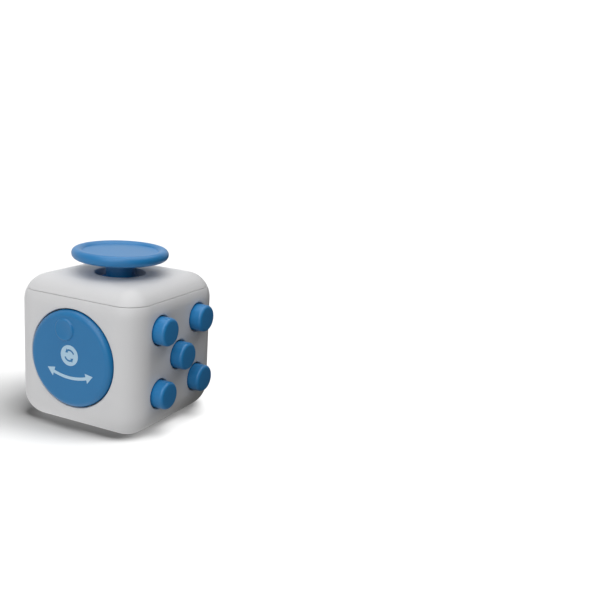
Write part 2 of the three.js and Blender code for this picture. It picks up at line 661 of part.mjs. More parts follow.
function switchGroup() {
  const group = faceGroup(LEFT);

  // The rocker's own frame: origin on the pivot, Y up the face, Z outwards, tilted to one side
  const rocking = new THREE.Group();
  rocking.position.z = -pivotDepth;
  rocking.rotation.x = ROCKER_TILT;

  const body = raised(rockerProfile(), -ROCKER_WIDTH / 2, ROCKER_WIDTH / 2, 6);
  body.rotateY(Math.PI / 2);
  body.rotateX(Math.PI / 2);
  const trunnionEnd = ROCKER_WIDTH / 2 + TRUNNION_LENGTH;
  const trunnion = rod(TRUNNION_RADIUS, -trunnionEnd, trunnionEnd, TINY_SEGMENTS).rotateY(Math.PI / 2);
  const bore = rod(rockerBoreRadius, -2 * ROCKER_BELOW_PIVOT, rockerBoreTop, TINY_SEGMENTS);
  const rocker = solid(body).add(solid(trunnion)).subtract(solid(bore));
  rocking.add(piece('switch_rocker', rocker, bluePlastic));

  const plunger = turned([
    ...arc(PLUNGER_RADIUS, -PLUNGER_REACH + PLUNGER_RADIUS, Math.PI, Math.PI / 2, 3),
    [PLUNGER_RADIUS, -PLUNGER_SHOULDER],
    [PLUNGER_RADIUS / 2, -PLUNGER_SHOULDER],
    [PLUNGER_RADIUS / 2, rockerBoreTop / 2],
    [0, rockerBoreTop / 2],
  ], TINY_SEGMENTS);
  rocking.add(piece('switch_plunger', solid(plunger), innerPlastic));

  const spring = coil(PLUNGER_RADIUS - SWITCH_SPRING_WIRE, SWITCH_SPRING_WIRE,
    -PLUNGER_SHOULDER + SEAT_GAP / 2, rockerBoreTop - SEAT_GAP / 2, 4);
  rocking.add(piece('switch_spring', solid(spring), steel));
  group.add(rocking);

  const outside = cheekInside + CHEEK_THICKNESS;
  const front = -behindWall;
  let housing = solid(block(
    [-outside, -HOUSING_HALF_HEIGHT, -housingBack], [outside, HOUSING_HALF_HEIGHT, front]));
  housing = housing.subtract(solid(block(
    [-cheekInside, -2 * HOUSING_HALF_HEIGHT, -housingFloorDepth], [cheekInside, 2 * HOUSING_HALF_HEIGHT, 0])));
  const pivotBore = rod(TRUNNION_RADIUS + SEAT_GAP, -2 * outside, 2 * outside, TINY_SEGMENTS);
  pivotBore.rotateY(Math.PI / 2).translate(0, 0, -pivotDepth);
  housing = housing.subtract(solid(pivotBore));
  const peg = rod(HOUSING_PEG_RADIUS, -housingBack - SEAT_GAP - FRAME_PLATE, -housingFloorDepth - SEAT_GAP,
    TINY_SEGMENTS);
  housing = housing.add(solid(peg));

  // Two dimples in the floor, one for each position
  for (const side of [-1, 1]) {
    const dimple = new THREE.SphereGeometry(PLUNGER_RADIUS + SEAT_GAP, TINY_SEGMENTS, TINY_SEGMENTS / 2);
    const reach = PLUNGER_REACH - PLUNGER_RADIUS + SEAT_GAP;
    const along = side * reach * Math.sin(ROCKER_TILT);
    dimple.translate(0, along, -pivotDepth - reach * Math.cos(ROCKER_TILT));
    housing = housing.subtract(solid(dimple));
  }
  group.add(piece('switch_housing', housing, innerPlastic));
  return group;
}

// ---- Wheels and ball ----

function wheelSolid() {
  const shape = new THREE.Shape();
  const step = (2 * Math.PI) / WHEEL_RIBS;
  const root = WHEEL_RADIUS - WHEEL_RIB_HEIGHT;
  for (let i = 0; i < WHEEL_RIBS; i++) {
    const corners = [[root, 0], [WHEEL_RADIUS, 0.2], [WHEEL_RADIUS, 0.5], [root, 0.7]];
    for (const [radius, share] of corners) {
      const angle = (i + share) * step;
      const [x, y] = [radius * Math.cos(angle), radius * Math.sin(angle)];
      if (i === 0 && share === 0) shape.moveTo(x, y);
      else shape.lineTo(x, y);
    }
  }
  const tyre = solid(raised(shape, -WHEEL_WIDTH / 2, WHEEL_WIDTH / 2, 1));
  return tyre.subtract(solid(rod(AXLE_RADIUS + SEAT_GAP, -WHEEL_WIDTH, WHEEL_WIDTH, TINY_SEGMENTS)));
}

function rollGroup() {
  const group = faceGroup(BACK);
  const wheel = wheelSolid();
  for (let i = 0; i < WHEEL_COUNT; i++) {
    const mesh = piece(`roll_wheel_${i + 1}`, wheel, bluePlastic);
    mesh.rotation.y = Math.PI / 2;
    const right = (i - (WHEEL_COUNT - 1) / 2) * (WHEEL_WIDTH + WHEEL_SPACING);
    mesh.position.set(right, wheelUp, -wheelAxisDepth);
    group.add(mesh);
  }

  const axle = piece('wheel_axle',
    solid(rod(AXLE_RADIUS, -cradleOutside, cradleOutside, TINY_SEGMENTS)), steel);
  axle.rotation.y = Math.PI / 2;
  axle.position.set(0, wheelUp, -wheelAxisDepth);
  group.add(axle);

  // U-shaped cradle, and the tongue that lies on the inner frame
  let cradle = solid(block(
    [-cradleOutside, wheelUp - cradleHalfHeight, -cradleBack],
    [cradleOutside, wheelUp + cradleHalfHeight, -behindWall]));
  cradle = cradle.subtract(solid(block(
    [-cradleInside, -CUBE_HEIGHT, -cradleBackFront], [cradleInside, CUBE_HEIGHT, 0])));
  const axleBore = rod(AXLE_RADIUS + SCREW_GAP, -2 * cradleOutside, 2 * cradleOutside, TINY_SEGMENTS);
  cradle = cradle.subtract(solid(axleBore.rotateY(Math.PI / 2).translate(0, wheelUp, -wheelAxisDepth)));
  const tongueLow = frameTop + SEAT_GAP - CUBE_HEIGHT / 2;
  const springEdge = JOYSTICK_SPRING_RADIUS + JOYSTICK_SPRING_WIRE + SLIDE_GAP;
  const tongueTip = Math.min(CUBE_DEPTH / 2 - springEdge, cradleBack + 2 * CRADLE_WALL);
  const tongue = block(
    [-CRADLE_TONGUE_WIDTH / 2, tongueLow, -tongueTip],
    [CRADLE_TONGUE_WIDTH / 2, tongueLow + CRADLE_WALL, -cradleBackFront - CRADLE_WALL / 2]);
  group.add(piece('wheel_cradle', cradle.add(solid(tongue)), innerPlastic));

  const ball = piece('roll_ball',
    solid(new THREE.SphereGeometry(BALL_RADIUS, SMALL_SEGMENTS, TINY_SEGMENTS)), bluePlastic);
  ball.position.set(0, ballUp, -ballDepth);
  group.add(ball);

  const cupBody = rod(ballCupRadius, -ballCupBack, -ballDepth, SMALL_SEGMENTS);
  const cupRoom = new THREE.SphereGeometry(ballSeatRadius, SMALL_SEGMENTS, TINY_SEGMENTS);
  cupRoom.translate(0, 0, -ballDepth);
  const cup = piece('ball_cup', solid(cupBody).subtract(solid(cupRoom)), innerPlastic);
  cup.position.y = ballUp;
  group.add(cup);

  const spring = piece('ball_spring', solid(coil(BALL_SPRING_RADIUS, BALL_SPRING_WIRE,
    -ballPlateDepth + SEAT_GAP, -ballCupBack - SEAT_GAP, 3)), steel);
  spring.position.y = ballUp;
  group.add(spring);
  return group;
}

// ---- Joystick ----

function joystickGroup() {
  const group = new THREE.Group();

  const dishEdge = CAP_DISH_RADIUS - CAP_DISH_DEPTH;
  const capProfile = [
    [0, pegBottom],
    [PEG_RADIUS, pegBottom],
    [PEG_RADIUS, neckBottom],
    [NECK_RADIUS, neckBottom],
    [NECK_RADIUS, capBottom],
    [CAP_RADIUS - CAP_EDGE, capBottom],
    ...roundedEdge(CAP_RADIUS, capBottom + 2 * CAP_EDGE, CAP_EDGE, 3)
      .map(([radius, height]) => [radius, 2 * (capBottom + CAP_EDGE) - height]).reverse().slice(1),
    ...roundedEdge(CAP_RADIUS, capTop, CAP_EDGE, 3),
    [CAP_DISH_RADIUS, capTop],
    [dishEdge, capTop - CAP_DISH_DEPTH],
    [0, capTop - CAP_DISH_DEPTH],
  ];
  group.add(piece('joystick_cap', solid(turned(capProfile, ROUND_SEGMENTS)), bluePlastic));

  // Skirt, hub with a bore for the cap's peg, lower stem and pivot ball in one piece
  const innerRadius = DOME_RADIUS - DOME_WALL;
  const pegBore = PEG_RADIUS + SCREW_GAP;
  const boreAngle = Math.asin(pegBore / DOME_RADIUS);
  const hubAngle = Math.asin(HUB_RADIUS / innerRadius);
  const stemAngle = Math.PI - Math.asin(LOWER_STEM_RADIUS / PIVOT_BALL_RADIUS);
  const domeProfile = [
    ...arc(PIVOT_BALL_RADIUS, pivotHeight, Math.PI, Math.PI - stemAngle, 5),
    [LOWER_STEM_RADIUS, hubBottom],
    [HUB_RADIUS, hubBottom],
    ...arc(innerRadius, pivotHeight, hubAngle, DOME_HALF_ANGLE, 4),
    ...arc(DOME_RADIUS, pivotHeight, DOME_HALF_ANGLE, boreAngle, 5),
    [pegBore, pegBottom - SEAT_GAP],
    [0, pegBottom - SEAT_GAP],
  ];
  group.add(piece('joystick_dome', solid(turned(domeProfile, ROUND_SEGMENTS)), bluePlastic));

  const spring = coil(JOYSTICK_SPRING_RADIUS, JOYSTICK_SPRING_WIRE,
    frameTop + SEAT_GAP, seatRingBottom - SEAT_GAP, 4);
  group.add(piece('joystick_spring', solid(spring), steel));

  const ringInside = JOYSTICK_SPRING_RADIUS - SEAT_RING_HALF_WIDTH;
  const ringOutside = JOYSTICK_SPRING_RADIUS + SEAT_RING_HALF_WIDTH;
  const ringTop = seatRingBottom + SEAT_RING_THICKNESS;
  const seatRing = ring(ringInside, ringOutside, seatRingBottom, ringTop, SMALL_SEGMENTS);
  group.add(piece('joystick_spring_seat', solid(seatRing), innerPlastic));
  return group;
}

// ---- Assembly ----

const fidgetCube = new THREE.Group();
fidgetCube.add(piece('body_shell', bodyShell(), whiteShell));
fidgetCube.add(piece('top_cover', topCover(), whiteShell));
fidgetCube.add(piece('core_frame', coreFrame(), innerPlastic));
fidgetCube.add(...frameScrews());
fidgetCube.add(dialGroup());
fidgetCube.add(buttonGroup());
fidgetCube.add(switchGroup());
fidgetCube.add(rollGroup());
fidgetCube.add(joystickGroup());

export default fidgetCube;
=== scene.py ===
import json
import math

import bmesh
import bpy
from mathutils import Matrix, Vector


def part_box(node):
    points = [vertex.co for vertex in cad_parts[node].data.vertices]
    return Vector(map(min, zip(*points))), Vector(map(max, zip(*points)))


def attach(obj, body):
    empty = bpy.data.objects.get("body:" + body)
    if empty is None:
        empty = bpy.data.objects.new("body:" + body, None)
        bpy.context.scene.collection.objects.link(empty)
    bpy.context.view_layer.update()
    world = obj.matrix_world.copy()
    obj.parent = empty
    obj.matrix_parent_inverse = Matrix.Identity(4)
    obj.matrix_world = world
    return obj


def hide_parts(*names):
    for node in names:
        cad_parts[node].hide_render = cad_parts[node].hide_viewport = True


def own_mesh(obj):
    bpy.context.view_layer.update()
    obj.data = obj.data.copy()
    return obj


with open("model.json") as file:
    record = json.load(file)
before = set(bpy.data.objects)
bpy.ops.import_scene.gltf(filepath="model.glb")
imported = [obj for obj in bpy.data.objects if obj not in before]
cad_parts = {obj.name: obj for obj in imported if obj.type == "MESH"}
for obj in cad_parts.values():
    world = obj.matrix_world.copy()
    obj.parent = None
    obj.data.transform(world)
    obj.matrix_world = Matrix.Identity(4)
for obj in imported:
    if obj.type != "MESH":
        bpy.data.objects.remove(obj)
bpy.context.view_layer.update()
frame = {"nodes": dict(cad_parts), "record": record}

# ------------------------------------------------------------
# The view. The cube stands left of and below the middle of the picture, seen over the corner
# between its dial face and its button face.

mm = 0.001
base_low, base_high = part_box("body_shell")
cover_low, cover_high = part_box("top_cover")
cube_width = base_high.x - base_low.x
cube_depth = base_high.y - base_low.y
cube_height = cover_high.z
cube_middle = Vector((0, 0, cube_height / 2))

view_turn = math.radians(37.15)
view_rise = math.radians(16.98)
view_roll = math.radians(-0.54)
view_distance = 201.85 * mm
lens_length = 49.83
aim_right = 0.2203
aim_up = 0.0415

toward_camera = Vector((
    math.sin(view_turn) * math.cos(view_rise),
    -math.cos(view_turn) * math.cos(view_rise),
    math.sin(view_rise),
))
camera_right = Vector((math.cos(view_turn), math.sin(view_turn), 0))
camera_up = toward_camera.cross(camera_right)
level = Matrix((camera_right, camera_up, toward_camera))
rolled = Matrix.Rotation(view_roll, 3, "Z") @ level
aside = Vector((0, 0, -1)).rotation_difference(Vector((-aim_right, -aim_up, -1)))
turned_camera = (aside.to_matrix() @ rolled).transposed()

camera_data = bpy.data.cameras.new("camera")
camera_data.lens = lens_length
camera_data.sensor_width = 36
camera_data.clip_start = 0.01
camera_data.clip_end = 20
camera = bpy.data.objects.new("camera", camera_data)
place = turned_camera.to_4x4()
place.translation = cube_middle + toward_camera * view_distance
camera.matrix_world = place
bpy.context.scene.collection.objects.link(camera)
bpy.context.scene.camera = camera

# ------------------------------------------------------------
# The studio: a pale table that glows softly from below, a big soft light overhead, a soft key
# light in front and a fill behind. Two wide suns draw the soft shadow on the table alone.

bpy.context.scene.view_settings.view_transform = "Standard"


def feed(tree, node, sources):
    """Gives each named input of a node another node's socket or a plain value."""
    for name, source in dict(sources).items():
        if isinstance(source, bpy.types.NodeSocket):
            tree.links.new(source, node.inputs[name])
        else:
            node.inputs[name].default_value = source


def add_node(tree, kind, sources=(), **settings):
    """A new node with those settings, fed after they are made."""
    node = tree.nodes.new(kind)
    for name, value in settings.items():
        setattr(node, name, value)
    feed(tree, node, sources)
    return node


def calculate(tree, kind, operation, *sources):
    """The result of a maths node, "Math" or "VectorMath", on sockets or plain values."""
    node = add_node(tree, "ShaderNode" + kind, enumerate(sources), operation=operation)
    single = kind == "Math" or operation in ("LENGTH", "DOT_PRODUCT")
    return node.outputs["Value" if single else "Vector"]


def new_material(name):
    material = bpy.data.materials.new(name)
    material.use_nodes = True
    return material, material.node_tree, material.node_tree.nodes["Principled BSDF"]


floor_half = 6.0
floor_mesh = bpy.data.meshes.new("floor")
floor_mesh.from_pydata(
    [(-floor_half, -floor_half, 0), (floor_half, -floor_half, 0),
     (floor_half, floor_half, 0), (-floor_half, floor_half, 0)], [], [(0, 1, 2, 3)])
floor = bpy.data.objects.new("floor", floor_mesh)
bpy.context.scene.collection.objects.link(floor)

# The table shows its shadows to the camera. To the cube it is an even glow, stronger in front.
glow_front = 0.85
glow_behind = 0.10
glow_reach = 0.016
glow_front_way = (-0.5, -0.866, 0)
floor_paint, tree, shader = new_material("floor_paint")
feed(tree, shader, {"Base Color": (0.40, 0.40, 0.40, 1), "Roughness": 0.9, "Specular IOR Level": 0.0})
where = add_node(tree, "ShaderNodeTexCoord")
frontness = calculate(tree, "VectorMath", "DOT_PRODUCT", where.outputs["Object"], glow_front_way)
strength = add_node(tree, "ShaderNodeMapRange", {
    "Value": frontness, "From Min": -glow_reach, "From Max": glow_reach,
    "To Min": glow_behind, "To Max": glow_front})
glow = add_node(tree, "ShaderNodeEmission", {"Strength": strength.outputs["Result"]})
seen = add_node(tree, "ShaderNodeLightPath")
either = add_node(tree, "ShaderNodeMixShader", {
    "Fac": seen.outputs["Is Camera Ray"], 1: glow.outputs["Emission"], 2: shader.outputs["BSDF"]})
feed(tree, tree.nodes["Material Output"], {"Surface": either.outputs["Shader"]})
floor.data.materials.append(floor_paint)

# The surround is white to the camera, brighter in reflections than as light on the cube, and
# dimmer for what lies on the button side.
seen_white = 1.1
lighting_white = 0.10
glossy_white = 0.80
dark_side_way = (0.95, 0.30, 0)
world = bpy.data.worlds.new("surround")
bpy.context.scene.world = world
world.use_nodes = True
tree = world.node_tree
tree.nodes.clear()
direction = add_node(tree, "ShaderNodeTexCoord")
sideways = calculate(tree, "VectorMath", "DOT_PRODUCT", direction.outputs["Generated"], dark_side_way)
dark_side = add_node(tree, "ShaderNodeMapRange", {
    "Value": sideways, "From Min": 0.1, "From Max": 0.8, "To Min": 1.0, "To Max": 0.25})
seen = add_node(tree, "ShaderNodeLightPath")
gloss_or_not = add_node(tree, "ShaderNodeMix", {
    "Factor": seen.outputs["Is Glossy Ray"], "A": lighting_white, "B": glossy_white})
dimmed = calculate(tree, "Math", "MULTIPLY", gloss_or_not.outputs["Result"], dark_side.outputs["Result"])
strength = add_node(tree, "ShaderNodeMix", {
    "Factor": seen.outputs["Is Camera Ray"], "A": dimmed, "B": seen_white})
sky = add_node(tree, "ShaderNodeBackground", {
    "Color": (1, 1, 1, 1), "Strength": strength.outputs["Result"]})
add_node(tree, "ShaderNodeOutputWorld", {"Surface": sky.outputs["Background"]})

floor_alone = bpy.data.collections.new("floor_alone")
floor_alone.objects.link(floor)
all_but_floor = bpy.data.collections.new("all_but_floor")
all_but_floor.objects.link(floor)
all_but_floor.collection_objects[0].light_linking.link_state = "EXCLUDE"


def new_light(name, kind, toward, distance, strength, lit):
    """A lamp that stands in a direction from the cube, shines back at it and lights one group."""
    data = bpy.data.lights.new(name, kind)
    data.energy = strength
    light = bpy.data.objects.new(name, data)
    light.location = cube_middle + Vector(toward).normalized() * distance
    light.rotation_mode = "QUATERNION"
    light.rotation_quaternion = Vector(toward).to_track_quat("Z", "Y")
    light.light_linking.receiver_collection = lit
    bpy.context.scene.collection.objects.link(light)
    return light


for name, toward, spread, strength in (
        ("table_sun_high", (0.31, 0.05, 0.95), 44, 7.0),
        ("table_sun_low", (0.82, 0.42, 0.50), 34, 3.6)):
    lamp = new_light(name, "SUN", toward, 1.0, strength, floor_alone)
    lamp.data.angle = math.radians(spread)
for name, toward, distance, size, strength in (
        ("overhead", (0.12, 0.08, 1.0), 0.50, 0.76, 2.42),
        ("key", (0.28, -0.80, 0.60), 0.60, 0.60, 1.64),
        ("fill_behind", (-0.80, 0.50, 0.35), 0.60, 0.50, 1.2)):
    lamp = new_light(name, "AREA", toward, distance, strength, all_but_floor)
    lamp.data.shape = "DISK"
    lamp.data.size = size
    lamp.visible_glossy = name != "fill_behind"

# ------------------------------------------------------------
# Case: an injection-moulded white ABS box with large even rounding, open at the top. The
# cover closes it along a fine joint line. Both have a satin moulded skin.

edge_radius = 6.0 * mm
wall = 1.8 * mm
seam_gap = 0.1 * mm
seam_chamfer = 0.12 * mm
seam_height = base_high.z + 0.15 * mm
hole_lip = 0.25 * mm
fine_turn = 96
coarse_turn = 48


def add_object(name, mesh):
    piece = bpy.data.objects.new(name, mesh)
    bpy.context.scene.collection.objects.link(piece)
    return piece


def plain(piece):
    """Turns the modifiers on a piece into its plain mesh."""
    bpy.context.view_layer.update()
    evaluated = piece.evaluated_get(bpy.context.evaluated_depsgraph_get())
    mesh = bpy.data.meshes.new_from_object(evaluated)
    piece.modifiers.clear()
    piece.data = mesh
    return piece


def stacked(name, rings, closed=False):
    """A skin over rings of equally many points, capped at its ends or joined end to end."""
    shape = bmesh.new()
    rows = [[shape.verts.new(point) for point in ring] for ring in rings]
    pairs = list(zip(rows, rows[1:]))
    if closed:
        pairs.append((rows[-1], rows[0]))
    else:
        shape.faces.new(reversed(rows[0]))
        shape.faces.new(rows[-1])
    for low, high in pairs:
        for i in range(len(low)):
            j = (i + 1) % len(low)
            shape.faces.new((low[i], low[j], high[j], high[i]))
    bmesh.ops.remove_doubles(shape, verts=shape.verts, dist=0.0001 * mm)
    bmesh.ops.recalc_face_normals(shape, faces=shape.faces)
    mesh = bpy.data.meshes.new(name)
    shape.to_mesh(mesh)
    shape.free()
    return add_object(name, mesh)


def even_steps(first, last, steps):
    return [first + (last - first) * i / steps for i in range(steps + 1)]


def turned(name, profile, segments=fine_turn, closed=False):
    """A (radius, height) profile turned about Z."""
    angles = even_steps(0, 2 * math.pi, segments)[:-1]
    rings = [[(r * math.cos(a), r * math.sin(a), h) for a in angles] for r, h in profile]
    return stacked(name, rings, closed)


def rod(name, radius, bottom, top, segments=coarse_turn):
    """A plain round bar along Z."""
    return turned(name, [(0, bottom), (radius, bottom), (radius, top), (0, top)], segments)


def oblong(half_width, half_height, corner, height, steps=6):
    """The points of a rectangle with round corners, at one height."""
    points = []
    for quarter, (sx, sy) in enumerate(((1, 1), (-1, 1), (-1, -1), (1, -1))):
        for i in range(steps + 1):
            a = math.pi / 2 * (quarter + i / steps)
            x = sx * (half_width - corner) + corner * math.cos(a)
            y = sy * (half_height - corner) + corner * math.sin(a)
            points.append((x, y, height))
    return points


def round_over(radius, top, edge, steps=8):
    """A quarter-round from a wall of that radius over to a flat top."""
    return [(radius - edge + edge * math.cos(a), top - edge + edge * math.sin(a))
            for a in even_steps(0, math.pi / 2, steps)]


def round_under(radius, bottom, edge, steps=8):
    """A quarter-round from a flat underside out to a wall of that radius."""
    return [(radius - edge + edge * math.sin(a), bottom + edge - edge * math.cos(a))
            for a in even_steps(0, math.pi / 2, steps)]


def flared(lip, steps=6):
    """How far a hole widens, and at what depth, through its rounded lip."""
    return [(lip - lip * math.cos(a), -lip + lip * math.sin(a))
            for a in even_steps(0, math.pi / 2, steps)]


def hole_cutter(radius, depth, lip=hole_lip, segments=fine_turn):
    profile = [(0, -depth), (radius, -depth)]
    profile += [(radius + grow, height) for grow, height in flared(lip)]
    profile += [(radius + lip, wall), (0, wall)]
    return turned("cutter", profile, segments)


def slot_cutter(half_width, half_height, corner, depth, lip=hole_lip):
    steps = [(0, -depth)] + flared(lip) + [(lip, wall)]
    rings = [oblong(half_width + grow, half_height + grow, corner + grow, height)
             for grow, height in steps]
    return stacked("cutter", rings)


def shift(x=0.0, y=0.0, z=0.0):
    return Matrix.Translation((x, y, z))


def cube_face(turn, distance, up=0.0, right=0.0):
    """Takes a shape whose Z points outwards to a side of the cube."""
    out = shift(right, -distance, cube_height / 2 + up)
    return Matrix.Rotation(turn, 4, "Z") @ out @ Matrix.Rotation(math.pi / 2, 4, "X")


def placed(piece, matrix):
    piece.data.transform(matrix)
    return piece


def combine(piece, other, operation):
    change = piece.modifiers.new("combine", "BOOLEAN")
    change.operation = operation
    change.object = other
    change.solver = "MANIFOLD"
    plain(piece)
    bpy.data.objects.remove(other)
    return piece


def even_shading(piece, crease=35):
    for face in piece.data.polygons:
        face.use_smooth = True
    piece.data.set_sharp_from_angle(angle=math.radians(crease))
    even = piece.modifiers.new("even", "WEIGHTED_NORMAL")
    even.keep_sharp = True
    return plain(piece)


def fit(piece, body, slot, material, *stands_for):
    """Paints a finished piece and puts it on its body in place of the CAD nodes it shows."""
    piece.data.materials.clear()
    piece.data.materials.append(material)
    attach(piece, body)
    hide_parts(*stands_for)
    return piece


def shape_tree(name, inputs):
    """An empty node tree for making a mesh, with named inputs. Returns it with its two ends."""
    tree = bpy.data.node_groups.new(name, "GeometryNodeTree")
    for label, kind in inputs:
        tree.interface.new_socket(label, in_out="INPUT", socket_type=kind)
    tree.interface.new_socket("Geometry", in_out="OUTPUT", socket_type="NodeSocketGeometry")
    return tree, tree.nodes.new("NodeGroupInput"), tree.nodes.new("NodeGroupOutput")


def end_tree(tree, start, end, geometry):
    """Ends a tree as every one here ends: real faces, smooth, with the piece's material."""
    real = add_node(tree, "GeometryNodeRealizeInstances", {"Geometry": geometry})
    smooth = add_node(tree, "GeometryNodeSetShadeSmooth", {"Geometry": real.outputs["Geometry"]})
    paint = add_node(tree, "GeometryNodeSetMaterial", {
        "Geometry": smooth.outputs["Geometry"], "Material": start.outputs["Material"]})
    feed(tree, end, {"Geometry": paint.outputs["Geometry"]})


def moved(tree, geometry, **how):
    """Geometry with its points moved to a Position, or by an Offset."""
    return add_node(tree, "GeometryNodeSetPosition", {"Geometry": geometry, **how}).outputs["Geometry"]


def grown(name, tree, values, piece=None):
    """Makes a plain mesh with a tree and its named inputs, from nothing or from a piece."""
    piece = piece or add_object(name, bpy.data.meshes.new(name))
    modifier = piece.modifiers.new(tree.name, "NODES")
    modifier.node_group = tree
    for item in tree.interface.items_tree:
        if item.in_out == "INPUT" and item.name in values:
            modifier[item.identifier] = values[item.name]
    return plain(piece)


def value_group(name, inputs, outputs):
    """An empty group of shader nodes with plain numbers as its inputs and outputs."""
    group = bpy.data.node_groups.new(name, "ShaderNodeTree")
    for side, labels in (("INPUT", inputs), ("OUTPUT", outputs)):
        for label in labels:
            group.interface.new_socket(label, in_out=side, socket_type="NodeSocketFloat")
    return group, group.nodes.new("NodeGroupInput"), group.nodes.new("NodeGroupOutput")


# Moulded skin: a fine grain for bump, and a slow drift in tone and gloss.
skin_group, start, end = value_group("moulded_skin", ("Grain Scale", "Drift Scale"), ("Grain", "Drift"))
where = add_node(skin_group, "ShaderNodeTexCoord")
for label, detail in (("Grain", 2.0), ("Drift", 3.0)):
    noise = add_node(skin_group, "ShaderNodeTexNoise", {
        "Vector": where.outputs["Object"], "Scale": start.outputs[label + " Scale"], "Detail": detail})
    feed(skin_group, end, {label: noise.outputs["Fac"]})

# Painted edge highlight: 1 along outer edges, where the skin is painted a little lighter as if it caught
# the light.
edge_highlight_group, start, end = value_group("painted_edge_highlight", ("Reach",), ("Edge",))
rounded = add_node(edge_highlight_group, "ShaderNodeBevel", {"Radius": start.outputs["Reach"]}, samples=4)
surface = add_node(edge_highlight_group, "ShaderNodeNewGeometry")
likeness = calculate(
    edge_highlight_group, "VectorMath", "DOT_PRODUCT", rounded.outputs["Normal"], surface.outputs["Normal"])
spread = add_node(edge_highlight_group, "ShaderNodeMapRange", {
    "Value": likeness, "From Min": 0.995, "From Max": 0.85})
feed(edge_highlight_group, end, {"Edge": spread.outputs["Result"]})

drift_scale = 130.0
# How far in, and how much, the painted edge highlight lightens the tone along outer edges.
edge_reach = 0.25 * mm
edge_highlight_share = 0.35


def plastic(name, colour, light_colour, roughness, roughness_range, grain_depth, grain_scale=9000.0):
    """Moulded plastic: its tone drifts at random from one colour towards the other, and a painted
    highlight lightens it along its edges.
    """
    material, tree, shader = new_material(name)
    skin = add_node(tree, "ShaderNodeGroup", {"Grain Scale": grain_scale, "Drift Scale": drift_scale},
                    node_tree=skin_group)
    edges = add_node(tree, "ShaderNodeGroup", {"Reach": edge_reach}, node_tree=edge_highlight_group)
    drift = skin.outputs["Drift"]
    # Painted highlight: the edge mask lifts the tone towards the lighter colour along outer edges, on
    # top of its random drift.
    share = calculate(tree, "Math", "MULTIPLY_ADD", edges.outputs["Edge"], edge_highlight_share, drift)
    tint = add_node(tree, "ShaderNodeMix", {
        "Factor": share, "A": (*colour, 1), "B": (*light_colour, 1)}, data_type="RGBA")
    gloss = add_node(tree, "ShaderNodeMapRange", {
        "Value": drift, "To Min": roughness - roughness_range, "To Max": roughness + roughness_range})
    bump = add_node(tree, "ShaderNodeBump", {
        "Height": skin.outputs["Grain"], "Strength": 1.0, "Distance": grain_depth})
    feed(tree, shader, {"Base Color": tint.outputs["Result"], "Roughness": gloss.outputs["Result"],
                        "Normal": bump.outputs["Normal"]})
    return material


white_plastic = plastic(
    "white_case_plastic", (0.655, 0.655, 0.665), (0.70, 0.70, 0.705), 0.46, 0.05, 0.004 * mm)
blue_plastic = plastic(
    "blue_control_plastic", (0.010, 0.180, 0.442), (0.018, 0.205, 0.484), 0.35, 0.04, 0.003 * mm)

# The tree for a rounded box. Every point of a gridded box is drawn in to the inner box and out
# again by the edge radius, which rounds edges and corners alike.
round_box, start, end = shape_tree("rounded_box", (
    ("Size", "NodeSocketVector"), ("Edge Radius", "NodeSocketFloat"),
    ("Divisions", "NodeSocketInt"), ("Material", "NodeSocketMaterial")))
divisions = start.outputs["Divisions"]
box = add_node(round_box, "GeometryNodeMeshCube", {
    "Size": start.outputs["Size"], "Vertices X": divisions, "Vertices Y": divisions,
    "Vertices Z": divisions})
point = round_box.nodes.new("GeometryNodeInputPosition").outputs["Position"]
radius = start.outputs["Edge Radius"]
half = calculate(round_box, "VectorMath", "MULTIPLY", start.outputs["Size"], (0.5, 0.5, 0.5))
inner = calculate(round_box, "VectorMath", "SUBTRACT", half, radius)
opposite = calculate(round_box, "VectorMath", "MULTIPLY", inner, (-1.0, -1.0, -1.0))
held = calculate(round_box, "VectorMath", "MINIMUM", point, inner)
held = calculate(round_box, "VectorMath", "MAXIMUM", held, opposite)
outward = calculate(round_box, "VectorMath", "SUBTRACT", point, held)
outward = calculate(round_box, "VectorMath", "NORMALIZE", outward)
outward = calculate(round_box, "VectorMath", "MULTIPLY", outward, radius)
skin_point = calculate(round_box, "VectorMath", "ADD", held, outward)
end_tree(round_box, start, end, moved(round_box, box.outputs["Mesh"], Position=skin_point))


def rounded_case(name, inset, divisions):
    size = Vector((cube_width, cube_depth, cube_height)) - Vector((2 * inset,) * 3)
    piece = grown(name, round_box, {
        "Size": size, "Edge Radius": edge_radius - inset,
        "Divisions": divisions, "Material": white_plastic})
    return placed(piece, shift(*cube_middle))


front = cube_face(0, cube_depth / 2)
right = cube_face(math.pi / 2, cube_width / 2)
left = cube_face(-math.pi / 2, cube_width / 2)


def slab(low, high):
    """A wide flat block between two heights, for cutting the case into base and cover."""
    reach = cube_width
    return stacked("cutter", [oblong(reach, reach, reach / 8, height) for height in (low, high)])


def joint_chamfer(piece, height):
    """Breaks the outer corner along the joint line."""
    loop = piece.data.attributes.new("bevel_weight_edge", "FLOAT", "EDGE")
    inner_half = cube_width / 2 - wall
    for edge in piece.data.edges:
        ends = [piece.data.vertices[v].co for v in edge.vertices]
        level_edge = all(abs(end.z - height) < 0.001 * mm for end in ends)
        outer = all(max(abs(end.x), abs(end.y)) > inner_half for end in ends)
        corner = all(math.hypot(end.x, end.y) > inner_half + wall for end in ends)
        if level_edge and (outer or corner):
            loop.data[edge.index].value = 1.0
    chamfer = piece.modifiers.new("chamfer", "BEVEL")
    chamfer.limit_method = "WEIGHT"
    chamfer.width = seam_chamfer
    chamfer.segments = 2
    return plain(piece)


outer_divisions = 61
inner_divisions = 31
base = rounded_case("case_base", 0, outer_divisions)
combine(base, rounded_case("cutter", wall, inner_divisions), "DIFFERENCE")

